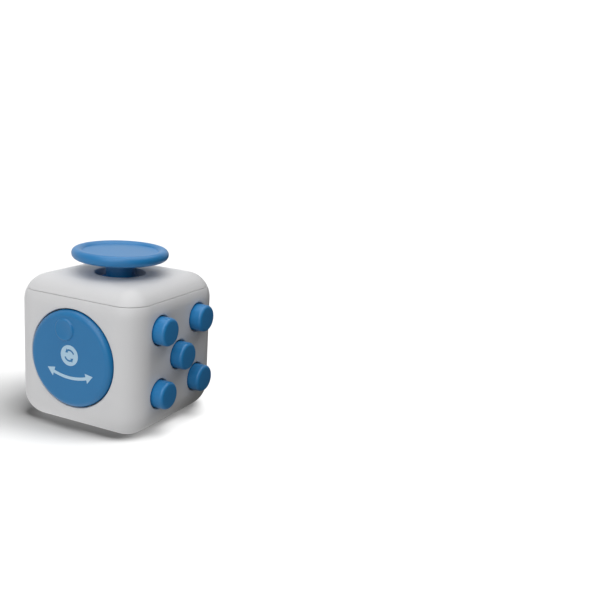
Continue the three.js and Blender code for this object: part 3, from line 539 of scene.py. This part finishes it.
# Recess for the dial: a pan behind the wall with a bore for the dial's shaft
recess_depth = 2.6 * mm
recess_floor = 1.2 * mm
dial_low, dial_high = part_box("dial")
dial_radius = (dial_high.x - dial_low.x) / 2
recess_radius = dial_radius + 0.25 * mm
pan_radius = recess_radius + 0.9 * mm
shaft_bore = 2.8 * mm
pan = rod("pan", pan_radius, -recess_depth - recess_floor, -wall / 2)
combine(base, placed(pan, front), "UNION")
combine(base, placed(hole_cutter(recess_radius, recess_depth), front), "DIFFERENCE")
combine(base, placed(rod("cutter", shaft_bore, -edge_radius, 0), front), "DIFFERENCE")

# Five button holes, laid out like a five on a die
button_names = [f"button_{number}" for number in range(1, 6)]
button_radius = 3.1 * mm
button_gap = 0.3 * mm


def button_place(name):
    low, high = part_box(name)
    middle = (low + high) / 2
    return cube_face(math.pi / 2, cube_width / 2, up=middle.z - cube_height / 2, right=middle.y)


for name in button_names:
    hole = hole_cutter(button_radius + button_gap, 2 * wall, segments=coarse_turn)
    combine(base, placed(hole, button_place(name)), "DIFFERENCE")

# Window for the wheels, and a round seat that holds the ball from outside
wheel_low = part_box("roll_wheel_3")[0]
wheel_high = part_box("roll_wheel_1")[1]
wheel_middle = (wheel_low + wheel_high) / 2
wheel_radius = (wheel_high.z - wheel_low.z) / 2 + 0.02 * mm
window_half_width = (wheel_high.x - wheel_low.x) / 2 + 0.4 * mm
axle_low, axle_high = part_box("wheel_axle")
axle_y = (axle_low.y + axle_high.y) / 2
wall_reach = axle_y - (cube_depth / 2 - wall)
window_half_height = math.sqrt(wheel_radius ** 2 - wall_reach ** 2) + 0.3 * mm
window = slot_cutter(window_half_width, window_half_height, 0.8 * mm, 2 * wall)
window_place = cube_face(math.pi, cube_depth / 2, up=wheel_middle.z - cube_height / 2)
combine(base, placed(window, window_place), "DIFFERENCE")

ball_low, ball_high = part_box("roll_ball")
ball_middle = (ball_low + ball_high) / 2
ball_radius = (ball_high.y - ball_low.y) / 2
ball_place = cube_face(math.pi, cube_depth / 2, up=ball_middle.z - cube_height / 2)
guide_bore = 5.2 * mm
guide_wall = 0.9 * mm
guide_depth = 6.6 * mm
guide = rod("guide", guide_bore + guide_wall, -guide_depth, -wall / 2)
combine(base, placed(guide, ball_place), "UNION")
guide_room = rod("cutter", guide_bore, -2 * guide_depth, -wall)
combine(base, placed(guide_room, ball_place), "DIFFERENCE")
seat_radius = ball_radius + 0.3 * mm
ball_depth = cube_depth / 2 - ball_middle.y
seat_edge = math.sqrt(seat_radius ** 2 - ball_depth ** 2)
seat = turned("cutter", [(seat_radius * math.sin(a), -ball_depth + seat_radius * math.cos(a))
                         for a in even_steps(math.pi, 0, coarse_turn)])
combine(base, placed(seat, ball_place), "DIFFERENCE")
seat_lip = turned("cutter", [(0, -hole_lip), (seat_edge, -hole_lip), (seat_edge + hole_lip, 0),
                             (seat_edge + hole_lip, wall), (0, wall)])
combine(base, placed(seat_lip, ball_place), "DIFFERENCE")

# Slot for the flip switch
pivot_depth = 3.0 * mm
rocker_reach = 7.2 * mm
rocker_half_width = 3.2 * mm
slot_half_height = math.sqrt(rocker_reach ** 2 - (pivot_depth - wall) ** 2) + 0.3 * mm
slot = slot_cutter(rocker_half_width + 0.3 * mm, slot_half_height, 0.6 * mm, 2 * wall)
combine(base, placed(slot, left), "DIFFERENCE")

# Thumb hollow in the underside, with its boss inside the floor
hollow_radius = 9.4 * mm
hollow_depth = 2.2 * mm
boss_radius = 10 * mm
boss_top = hollow_depth + 1.5 * mm
combine(base, rod("boss", boss_radius, wall / 2, boss_top, fine_turn), "UNION")
hollow_profile = [(0, -wall), (hollow_radius, -wall)]
hollow_profile += [(hollow_radius * (1 - s), hollow_depth * (1 - math.cos(math.pi * s)) / 2)
                   for s in even_steps(0, 1, 24)]
combine(base, turned("cutter", hollow_profile), "DIFFERENCE")

# Four hollow posts for the frame's screws
post_radius = 1.95 * mm
post_bore = 0.95 * mm
post_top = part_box("core_frame")[0].z - 0.2 * mm
for number in range(1, 5):
    low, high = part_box(f"frame_screw_{number}")
    middle = (low + high) / 2
    for radius, bottom, top, operation in ((post_radius, wall / 2, post_top, "UNION"),
                                           (post_bore, wall, post_top + wall, "DIFFERENCE")):
        post = rod("post", radius, bottom, top, 24)
        combine(base, placed(post, shift(middle.x, middle.y)), operation)

base_top = seam_height - seam_gap / 2
combine(base, slab(base_top, 2 * cube_height), "DIFFERENCE")
joint_chamfer(base, base_top)
even_shading(base)
fit(base, "case", "white_shell", white_plastic, "body_shell")

# ------------------------------------------------------------
# Cover: the cap of the same white ABS that closes the case. A lip under it fits inside the
# base, and a round hole in its middle lets the joystick through.

cover = rounded_case("case_cover", 0, outer_divisions)
combine(cover, rounded_case("cutter", wall, inner_divisions), "DIFFERENCE")
cover_bottom = seam_height + seam_gap / 2
combine(cover, slab(-cube_height, cover_bottom), "DIFFERENCE")
joint_chamfer(cover, cover_bottom)
lip_half = 13.33 * mm
lip_thickness = 1.1 * mm
lip_corner_middle = 10.5 * mm
lip_top = cube_height - wall / 2
lip_section = ((lip_half, cover_low.z), (lip_half, lip_top),
               (lip_half - lip_thickness, lip_top), (lip_half - lip_thickness, cover_low.z))
lip = stacked("lip", [oblong(half_size, half_size, half_size - lip_corner_middle, height)
                      for half_size, height in lip_section], closed=True)
combine(lip, rounded_case("cutter", wall / 2, inner_divisions), "INTERSECT")
combine(cover, lip, "UNION")
joystick_hole = 5.7 * mm
hole = hole_cutter(joystick_hole, 3 * wall, lip=0.3 * mm)
combine(cover, placed(hole, shift(z=cube_height)), "DIFFERENCE")
even_shading(cover)
fit(cover, "case", "white_shell", white_plastic, "top_cover")

# ------------------------------------------------------------
# Dial: a blue disc that turns in its recess, with a wide soft shoulder and one raised round spot
# for a fingertip. Its shaft is moulded on behind. Turning marks are printed on it in pale ink.

dial_plastic = plastic(
    "blue_dial_plastic", (0.004, 0.155, 0.385), (0.010, 0.182, 0.425), 0.33, 0.04, 0.003 * mm)
dial_proud = 0.95 * mm
shoulder = 1.35 * mm
dial_back = recess_depth - 0.3 * mm
shaft_end = recess_depth + recess_floor + 0.3 * mm
shaft_radius = 2.5 * mm
screw_bore = 0.95 * mm
dial_profile = [(0, -dial_back / 2), (screw_bore, -dial_back / 2), (screw_bore, -shaft_end)]
dial_profile += [(shaft_radius, -shaft_end), (shaft_radius, -dial_back)]
dial_profile += round_under(dial_radius, -dial_back, 0.2 * mm, 3)
dial_profile += round_over(dial_radius, dial_proud, shoulder, 16)
dial_profile += [(0, dial_proud)]
dial = turned("dial_disc", dial_profile, 128)
spot_radius = 2.45 * mm
spot_height = 0.45 * mm
spot_right = -1.1 * mm
spot_up = 6.55 * mm
spot_foot = 0.3 * mm
spot_edge = 0.4 * mm
spot_dish = 0.18 * mm
spot_profile = [(0, 0), (spot_radius + spot_foot, 0)]
spot_profile += [(spot_radius + spot_foot - spot_foot * math.sin(a),
                  dial_proud + spot_foot * 0.4 * (1 - math.cos(a)))
                 for a in even_steps(0, math.pi / 2, 6)]
spot_profile += round_over(spot_radius, dial_proud + spot_height, spot_edge)[1:]
spot_profile += [((spot_radius - spot_edge) * share,
                  dial_proud + spot_height - spot_dish * (1 - share ** 2))
                 for share in even_steps(1, 0, 10)[1:]]
spot = turned("spot", spot_profile, 64)
combine(dial, placed(spot, shift(spot_right, spot_up)), "UNION")
placed(dial, front)
even_shading(dial)
fit(dial, "dial", "dial_blue", dial_plastic, "dial")

# The print: a pale round mark with two turning arrows left open, and a double arrow below it
print_ink = plastic("pale_print_ink", (0.40, 0.60, 0.76), (0.47, 0.66, 0.80), 0.50, 0.05, 0.002 * mm)
ink_foot = dial_proud - 0.02 * mm
ink_top = dial_proud + 0.03 * mm


def inked(name, outline, bottom=ink_foot, top=ink_top):
    """A thin layer with that outline between two heights."""
    return stacked(name, [[(x, y, height) for x, y in outline] for height in (bottom, top)])


def bent_arrow(radius, half_width, from_angle, to_angle, head_length, head_half_width, both_ends):
    """The outline of an arrow bent round a circle. It points at its end, or at both ends."""
    turns = even_steps(from_angle, to_angle, 24)
    point = head_length / radius
    corners = [(radius + half_width, a) for a in turns]
    corners += [(radius + head_half_width, to_angle), (radius, to_angle + point),
                (radius - head_half_width, to_angle)]
    corners += [(radius - half_width, a) for a in reversed(turns)]
    if both_ends:
        corners += [(radius - head_half_width, from_angle), (radius, from_angle - point),
                    (radius + head_half_width, from_angle)]
    return [(r * math.cos(a), r * math.sin(a)) for r, a in corners]


mark_radius = 2.3 * mm
mark = inked("round_mark", [(mark_radius * math.cos(a), mark_radius * math.sin(a))
                            for a in even_steps(0, 2 * math.pi, 64)[:-1]])
for from_degrees in (20, 200):
    opening = bent_arrow(
        radius=1.2 * mm, half_width=0.2 * mm, from_angle=math.radians(from_degrees),
        to_angle=math.radians(from_degrees + 95), head_length=0.85 * mm, head_half_width=0.52 * mm,
        both_ends=False)
    combine(mark, inked("cutter", opening, 0, 2 * dial_proud), "DIFFERENCE")
mark_right = 0.15 * mm
mark_up = 1.0 * mm
placed(mark, front @ shift(mark_right, mark_up))
fit(mark, "dial", "dial_blue", print_ink)
bow_radius = 14 * mm
bow_right = 0.3 * mm
bow_down = 4.0 * mm
double_arrow = bent_arrow(
    radius=bow_radius, half_width=0.34 * mm, from_angle=math.radians(252),
    to_angle=math.radians(288), head_length=1.9 * mm, head_half_width=1.1 * mm, both_ends=True)
swing = inked("double_arrow", double_arrow)
placed(swing, front @ shift(bow_right, bow_radius - bow_down))
fit(swing, "dial", "dial_blue", print_ink)

# ------------------------------------------------------------
# Buttons: five blue moulded push caps with softly rounded rims. Each slides in its hole in the
# case wall, where a flange keeps it from coming out, and a coil spring pushes it back.

button_edge = 0.75 * mm
button_crown = 0.02 * mm
stem = 0.9 * mm
flange_front = -wall - 0.3 * mm
flange_back = flange_front - 1.0 * mm
for name in button_names:
    low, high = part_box(name)
    proud = high.x - cube_width / 2
    tip = low.x - cube_width / 2
    flange_radius = (high.y - low.y) / 2
    profile = [(0, tip), (stem, tip), (stem, flange_back), (flange_radius, flange_back)]
    profile += [(flange_radius, flange_front), (button_radius, flange_front)]
    profile += round_over(button_radius, proud, button_edge) + [(0, proud + button_crown)]
    button = placed(turned(name + "_cap", profile, 64), button_place(name))
    even_shading(button)
    fit(button, name, "blue_plastic", blue_plastic, name)

# ------------------------------------------------------------
# Flip switch: a blue rocker with two flats that meet in a shallow valley. It rocks on two
# trunnions moulded on its sides, which snap into the cheeks of the housing.

rocker_tilt = math.radians(12)
low_side = 0.4 * mm
valley = (pivot_depth + low_side) / math.cos(rocker_tilt)
slope = math.tan(rocker_tilt)
quadratic = (1 + slope ** 2, valley * slope, valley ** 2 - rocker_reach ** 2)
tip_along = (-quadratic[1] + math.sqrt(quadratic[1] ** 2 - quadratic[0] * quadratic[2])) / quadratic[0]
tip_angle = math.atan2(valley + slope * tip_along, tip_along)
low_angle = -math.asin(1.0 * mm / rocker_reach)
rocker_steps = 16
valley_softness = 0.8 * mm
near_end = even_steps(low_angle, tip_angle, rocker_steps)
far_end = even_steps(math.pi - tip_angle, math.pi - low_angle, rocker_steps)
outline = [(rocker_reach * math.cos(a), rocker_reach * math.sin(a)) for a in near_end]
for along in even_steps(tip_along, -tip_along, rocker_steps)[1:-1]:
    soft = math.sqrt(along ** 2 + valley_softness ** 2) - valley_softness
    outline.append((along, valley + slope * soft))
outline += [(rocker_reach * math.cos(a), rocker_reach * math.sin(a)) for a in far_end]
rocker = stacked("switch_rocker_cap", [[(across, along, out) for along, out in outline]
                                       for across in (-rocker_half_width, rocker_half_width)])
softened = rocker.modifiers.new("softened", "BEVEL")
softened.limit_method = "ANGLE"
softened.angle_limit = math.radians(40)
softened.width = 0.45 * mm
softened.segments = 4
plain(rocker)
trunnion_radius = 0.9 * mm
trunnion_end = 4.2 * mm
trunnion_edge = 0.1 * mm
trunnion_side = [(trunnion_radius - trunnion_edge, trunnion_end),
                 (trunnion_radius, trunnion_end - trunnion_edge)]
trunnion = turned("trunnion", [(0, -trunnion_end)] + [(r, -h) for r, h in trunnion_side]
                  + trunnion_side[::-1] + [(0, trunnion_end)], 32)
combine(rocker, placed(trunnion, Matrix.Rotation(math.pi / 2, 4, "Y")), "UNION")
spring_room_radius = 1.25 * mm
spring_room_low = -2 * mm
spring_room_high = 1.6 * mm
spring_room = rod("cutter", spring_room_radius, spring_room_low, spring_room_high, 32)
combine(rocker, spring_room, "DIFFERENCE")
rocker_place = left @ shift(z=-pivot_depth) @ Matrix.Rotation(rocker_tilt, 4, "X")
placed(rocker, rocker_place)
even_shading(rocker)
fit(rocker, "switch", "blue_plastic", blue_plastic, "switch_rocker")

# ------------------------------------------------------------
# Wheels: three blue moulded rollers with rounded ribs, side by side on one steel axle. They
# stand a little out of a window in the case.

# The tree presses ribs into a plain roller that lies on X: its outer skin dips between them.
rib_tree, start, end = shape_tree("ribbed_roller", (
    ("Geometry", "NodeSocketGeometry"), ("Wheel Radius", "NodeSocketFloat"), ("Ribs", "NodeSocketInt"),
    ("Rib Depth", "NodeSocketFloat"), ("Material", "NodeSocketMaterial")))
rib_depth = start.outputs["Rib Depth"]
roller_radius = start.outputs["Wheel Radius"]
point = rib_tree.nodes.new("GeometryNodeInputPosition").outputs["Position"]
flat = calculate(rib_tree, "VectorMath", "MULTIPLY", point, (0.0, 1.0, 1.0))
distance = calculate(rib_tree, "VectorMath", "LENGTH", flat)
parts = add_node(rib_tree, "ShaderNodeSeparateXYZ", {"Vector": point})
angle = calculate(rib_tree, "Math", "ARCTAN2", parts.outputs["Z"], parts.outputs["Y"])
phase = calculate(rib_tree, "Math", "MULTIPLY", angle, start.outputs["Ribs"])
wave = calculate(rib_tree, "Math", "COSINE", phase)
wave = calculate(rib_tree, "Math", "MULTIPLY_ADD", wave, -0.5, 0.5)
wave = calculate(rib_tree, "Math", "POWER", wave, 1.6)
deepest = calculate(rib_tree, "Math", "MULTIPLY_ADD", rib_depth, -3.0, roller_radius)
band = add_node(rib_tree, "ShaderNodeMapRange", {
    "Value": distance, "From Min": deepest, "From Max": roller_radius},
    interpolation_type="SMOOTHSTEP")
dip = calculate(rib_tree, "Math", "MULTIPLY", wave, rib_depth)
dip = calculate(rib_tree, "Math", "MULTIPLY", dip, band.outputs["Result"])
depth = calculate(rib_tree, "Math", "MULTIPLY", dip, -1.0)
inwards = calculate(rib_tree, "VectorMath", "NORMALIZE", flat)
inwards = calculate(rib_tree, "VectorMath", "MULTIPLY", inwards, depth)
end_tree(rib_tree, start, end, moved(rib_tree, start.outputs["Geometry"], Offset=inwards))

wheel_bore = 1.2 * mm
wheel_edge = 0.5 * mm
rib_count = 16
groove_depth = 0.45 * mm
for number in range(1, 4):
    low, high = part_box(f"roll_wheel_{number}")
    half_width = (high.x - low.x) / 2
    profile = [(wheel_bore, -half_width)] + round_under(wheel_radius, -half_width, wheel_edge, 5)
    profile += round_over(wheel_radius, half_width, wheel_edge, 5) + [(wheel_bore, half_width)]
    wheel = turned(f"roll_wheel_{number}_ribbed", profile, rib_count * 12, closed=True)
    placed(wheel, Matrix.Rotation(math.pi / 2, 4, "Y"))
    grown(wheel.name, rib_tree, {"Wheel Radius": wheel_radius, "Ribs": rib_count,
                                 "Rib Depth": groove_depth, "Material": blue_plastic}, wheel)
    placed(wheel, shift((low.x + high.x) / 2, axle_y, wheel_middle.z))
    even_shading(wheel, 50)
    fit(wheel, f"wheel_{number}", "blue_plastic", blue_plastic, f"roll_wheel_{number}")

# ------------------------------------------------------------
# Ball: a blue moulded ball with the faint joint line of its two-part mould. It rolls in a cup on
# a spring, held in by the round seat in the case wall.

line_depth = 0.03 * mm
line_angle = 0.04
ball_profile = []
for a in even_steps(math.pi, 0, 64):
    dent = line_depth * math.exp(-((a - math.pi / 2) / line_angle) ** 2)
    ball_profile.append(((ball_radius - dent) * math.sin(a), (ball_radius - dent) * math.cos(a)))
ball = turned("roll_ball_fine", ball_profile, 96)
placed(ball, shift(*ball_middle) @ Matrix.Rotation(math.radians(35), 4, "X"))
even_shading(ball)
fit(ball, "ball", "blue_plastic", blue_plastic, "roll_ball")

# ------------------------------------------------------------
# Joystick: a blue disc with a raised round rim and a shallow dish, on a neck. The neck stands
# on a matt skirt in a darker blue for painted shade, which closes the cover's hole from below as the
# stick leans.

cap_low, cap_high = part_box("joystick_cap")
cap_radius = (cap_high.x - cap_low.x) / 2
cap_top = cap_high.z
cap_bottom = cap_top - 2.5 * mm
neck_radius = 3.2 * mm
peg_radius = 1.5 * mm
pivot_height = cube_height - 9.1 * mm
skirt_radius = 9.0 * mm


def arc(radius, from_angle, to_angle, steps):
    """Part of a circle round the pivot, as (radius, height) points. Angles are from the top."""
    return [(radius * math.sin(a), pivot_height + radius * math.cos(a))
            for a in even_steps(from_angle, to_angle, steps)]


neck_seat = skirt_radius + 0.05 * mm
cap_profile = [(0, cap_low.z), (peg_radius, cap_low.z)]
cap_profile += arc(neck_seat, math.asin(peg_radius / neck_seat), math.asin(neck_radius / neck_seat), 6)
cap_profile += [(neck_radius, cap_bottom)]
cap_profile += round_under(cap_radius, cap_bottom, 1.3 * mm, 10)
rim_round = 1.2 * mm
crest_radius = cap_radius - rim_round
cap_profile += round_over(cap_radius, cap_top, rim_round, 10)
dish_depth = 0.6 * mm
dish_round = 1.6 * mm
dish_turn = math.acos(1 - dish_depth / dish_round)
cap_profile += [(crest_radius - dish_round * math.sin(a), cap_top - dish_round * (1 - math.cos(a)))
                for a in even_steps(0, dish_turn, 8)[1:]]
cap_profile += [(0, cap_top - dish_depth)]
cap = turned("joystick_disc", cap_profile, 128)
even_shading(cap)
fit(cap, "joystick", "blue_plastic", blue_plastic, "joystick_cap")

skirt_wall = 0.9 * mm
skirt_angle = math.radians(53)
hub_bottom = pivot_height + skirt_radius - 5.2 * mm
inner_skirt = skirt_radius - skirt_wall
peg_bore = 1.65 * mm
stem_radius = 1.3 * mm
knob_radius = 2.1 * mm
hub_radius = 2.6 * mm
bore_bottom = cap_low.z - 0.2 * mm
skirt_profile = arc(knob_radius, math.pi, math.asin(stem_radius / knob_radius), 12)
skirt_profile += [(stem_radius, hub_bottom), (hub_radius, hub_bottom)]
skirt_profile += arc(inner_skirt, math.asin(hub_radius / inner_skirt), skirt_angle, 16)
skirt_profile += arc(skirt_radius, skirt_angle, math.asin(peg_bore / skirt_radius), 24)
skirt_profile += [(peg_bore, bore_bottom), (0, bore_bottom)]
# The skirt's blue is a darker copy of the controls' blue: painted shade for where it sits deep under the
# disc. It is also matt.
shaded_skirt_plastic = plastic(
    "matt_painted_shade_skirt_plastic", (0.014, 0.145, 0.360), (0.022, 0.170, 0.400), 0.80, 0.05, 0.003 * mm)
skirt = turned("joystick_skirt", skirt_profile, 96)
even_shading(skirt)
fit(skirt, "joystick", "blue_plastic", shaded_skirt_plastic, "joystick_dome")

# ------------------------------------------------------------
# Springs: coils of round steel wire with closed ends. Each button, the ball's cup and the flip
# switch has one, and a wide one stands under the joystick's skirt.

bright_steel, tree, shader = new_material("bright_steel")
where = add_node(tree, "ShaderNodeTexCoord")
lines = add_node(tree, "ShaderNodeTexNoise", {"Vector": where.outputs["Object"], "Scale": 6000.0})
tint = add_node(tree, "ShaderNodeMix", {
    "Factor": lines.outputs["Fac"], "A": (0.48, 0.49, 0.50, 1), "B": (0.62, 0.63, 0.64, 1)},
    data_type="RGBA")
gloss = add_node(tree, "ShaderNodeMapRange", {
    "Value": lines.outputs["Fac"], "To Min": 0.22, "To Max": 0.38})
feed(tree, shader, {"Metallic": 1.0, "Base Color": tint.outputs["Result"],
                    "Roughness": gloss.outputs["Result"]})

# The tree sweeps a round wire along a coil that stands on its end. The pitch closes at the ends.
spring_tree, start, end = shape_tree("wire_spring", (
    ("Coil Radius", "NodeSocketFloat"), ("Wire Radius", "NodeSocketFloat"), ("Turns", "NodeSocketFloat"),
    ("Length", "NodeSocketFloat"), ("Material", "NodeSocketMaterial")))
coil_radius = start.outputs["Coil Radius"]
wire_radius = start.outputs["Wire Radius"]
length = start.outputs["Length"]
coil = add_node(spring_tree, "GeometryNodeCurveSpiral", {
    "Resolution": 32, "Rotations": start.outputs["Turns"], "Start Radius": coil_radius,
    "End Radius": coil_radius, "Height": length})
point = spring_tree.nodes.new("GeometryNodeInputPosition").outputs["Position"]
parts = add_node(spring_tree, "ShaderNodeSeparateXYZ", {"Vector": point})
topmost = calculate(spring_tree, "Math", "SUBTRACT", length, wire_radius)
pitch = add_node(spring_tree, "ShaderNodeMapRange", {
    "Value": parts.outputs["Z"], "From Max": length, "To Min": wire_radius, "To Max": topmost},
    interpolation_type="SMOOTHSTEP")
eased = add_node(spring_tree, "ShaderNodeCombineXYZ", {
    "X": parts.outputs["X"], "Y": parts.outputs["Y"], "Z": pitch.outputs["Result"]})
path = moved(spring_tree, coil.outputs["Curve"], Position=eased.outputs["Vector"])
wire = add_node(spring_tree, "GeometryNodeCurvePrimitiveCircle", {
    "Resolution": 10, "Radius": wire_radius})
sweep = add_node(spring_tree, "GeometryNodeCurveToMesh", {
    "Curve": path, "Profile Curve": wire.outputs["Curve"], "Fill Caps": True})
end_tree(spring_tree, start, end, sweep.outputs["Mesh"])


def coiled(node, body, wire_radius, turns, outer_radius, length, foot):
    """A spring in place of a CAD one. Foot takes it from standing at the origin to its place."""
    spring = grown(node + "_wire", spring_tree, {
        "Coil Radius": outer_radius - wire_radius, "Wire Radius": wire_radius, "Turns": float(turns),
        "Length": length, "Material": bright_steel})
    even_shading(placed(spring, foot), 50)
    return fit(spring, body, "spring_steel", bright_steel, node)


def squashed(spring):
    """Gives a spring its own copy of its mesh."""
    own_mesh(spring)


for number, name in enumerate(button_names, 1):
    low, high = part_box(f"button_spring_{number}")
    foot = button_place(name) @ shift(z=low.x - cube_width / 2)
    spring = coiled(f"button_spring_{number}", "case", 0.25 * mm, 3, (high.y - low.y) / 2,
                    high.x - low.x, foot)
    squashed(spring)
low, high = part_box("ball_spring")
spring = coiled("ball_spring", "case", 0.3 * mm, 3, (high.x - low.x) / 2, high.y - low.y,
                ball_place @ shift(z=low.y - cube_depth / 2))
squashed(spring)
low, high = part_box("joystick_spring")
coiled("joystick_spring", "joystick_turn", 0.35 * mm, 4, (high.x - low.x) / 2, high.z - low.z,
       shift(z=low.z))
switch_spring_length = 3.1 * mm
coiled("switch_spring", "switch", 0.15 * mm, 4, 1.05 * mm, switch_spring_length,
       rocker_place @ shift(z=-switch_spring_length / 2))

# ------------------------------------------------------------
# Screws: steel self-tapping screws with a cross recess. Four hold the frame down on the case's
# posts, and one holds the washer on the end of the dial's shaft.

# The tree builds a screw that stands head up, with the underside of its head at the origin.
screw_tree, start, end = shape_tree("tapping_screw", (
    ("Head Radius", "NodeSocketFloat"), ("Head Height", "NodeSocketFloat"),
    ("Shank Radius", "NodeSocketFloat"), ("Shank Length", "NodeSocketFloat"),
    ("Thread Pitch", "NodeSocketFloat"), ("Material", "NodeSocketMaterial")))
head_radius = start.outputs["Head Radius"]
head_height = start.outputs["Head Height"]
shank_radius = start.outputs["Shank Radius"]
shank_length = start.outputs["Shank Length"]


def times(source, factor):
    return calculate(screw_tree, "Math", "MULTIPLY", source, factor)


def lifted(geometry, height):
    offset = add_node(screw_tree, "ShaderNodeCombineXYZ", {"Z": height})
    return moved(screw_tree, geometry, Offset=offset.outputs["Vector"])


def tapered(bottom, top, depth):
    """A round body that tapers from one radius to another."""
    cone = add_node(screw_tree, "GeometryNodeMeshCone", {
        "Radius Bottom": bottom, "Radius Top": top, "Depth": depth})
    return cone.outputs["Mesh"]


head = tapered(head_radius, times(head_radius, 0.8), head_height)
recess = add_node(screw_tree, "GeometryNodeMeshBoolean", {"Mesh 1": head}, operation="DIFFERENCE")
arm = times(head_radius, 1.15)
blade = times(head_radius, 0.24)
for across, along in ((arm, blade), (blade, arm)):
    size = add_node(screw_tree, "ShaderNodeCombineXYZ", {"X": across, "Y": along, "Z": head_height})
    bar = add_node(screw_tree, "GeometryNodeMeshCube", {"Size": size.outputs["Vector"]})
    feed(screw_tree, recess, {"Mesh 2": lifted(bar.outputs["Mesh"], head_height)})
core = times(shank_radius, 0.82)
downwards = times(shank_length, -1.0)
shank = lifted(tapered(times(shank_radius, 0.55), core, shank_length), downwards)
thread_turns = calculate(screw_tree, "Math", "DIVIDE", shank_length, start.outputs["Thread Pitch"])
thread = add_node(screw_tree, "GeometryNodeCurveSpiral", {
    "Resolution": 24, "Rotations": thread_turns, "Start Radius": times(shank_radius, 0.6),
    "End Radius": core, "Height": shank_length})
ridge = add_node(screw_tree, "GeometryNodeCurvePrimitiveCircle", {
    "Resolution": 3, "Radius": times(shank_radius, 0.17)})
wound = add_node(screw_tree, "GeometryNodeCurveToMesh", {
    "Curve": thread.outputs["Curve"], "Profile Curve": ridge.outputs["Curve"], "Fill Caps": True})
whole = add_node(screw_tree, "GeometryNodeJoinGeometry")
for geometry in (recess.outputs["Mesh"], shank, lifted(wound.outputs["Mesh"], downwards)):
    feed(screw_tree, whole, {"Geometry": geometry})
end_tree(screw_tree, start, end, whole.outputs["Geometry"])
screw_head_height = 1.0 * mm


def driven(node, body, head_radius, length, foot):
    """A screw in place of a CAD one. Foot takes it from standing at the origin to its place."""
    screw = grown(node + "_steel", screw_tree, {
        "Head Radius": head_radius, "Head Height": screw_head_height, "Shank Radius": 0.8 * mm,
        "Shank Length": length - screw_head_height, "Thread Pitch": 0.6 * mm,
        "Material": bright_steel})
    even_shading(placed(screw, foot))
    return fit(screw, body, "spring_steel", bright_steel, node)


for number in range(1, 5):
    low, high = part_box(f"frame_screw_{number}")
    middle = (low + high) / 2
    driven(f"frame_screw_{number}", "case", (high.x - low.x) / 2, high.z - low.z,
           shift(middle.x, middle.y, high.z - screw_head_height))
low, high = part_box("dial_screw")
driven("dial_screw", "dial", (high.x - low.x) / 2, high.y - low.y,
       cube_face(math.pi, high.y - screw_head_height))

# ------------------------------------------------------------
# Inside: the frame, housings, axle, pads, contact domes and the like, in their CAD shapes. The
# mouldings are plain nylon, the pads rubber and the rest steel.

inner_plastic = plastic("inner_nylon", (0.50, 0.50, 0.48), (0.58, 0.58, 0.55), 0.58, 0.06, 0.006 * mm)
pad_rubber = plastic("pad_rubber", (0.10, 0.11, 0.12), (0.14, 0.15, 0.16), 0.8, 0.05, 0.01 * mm, 5000.0)
finishes = {"inner_plastic": inner_plastic, "spring_steel": bright_steel, "pad_rubber": pad_rubber,
            "white_shell": white_plastic, "blue_plastic": blue_plastic, "dial_blue": blue_plastic}
for row in frame["record"]["subparts"]:
    node = frame["nodes"][row["node"]]
    node.data.materials.clear()
    node.data.materials.append(finishes[row["material_slot"]])
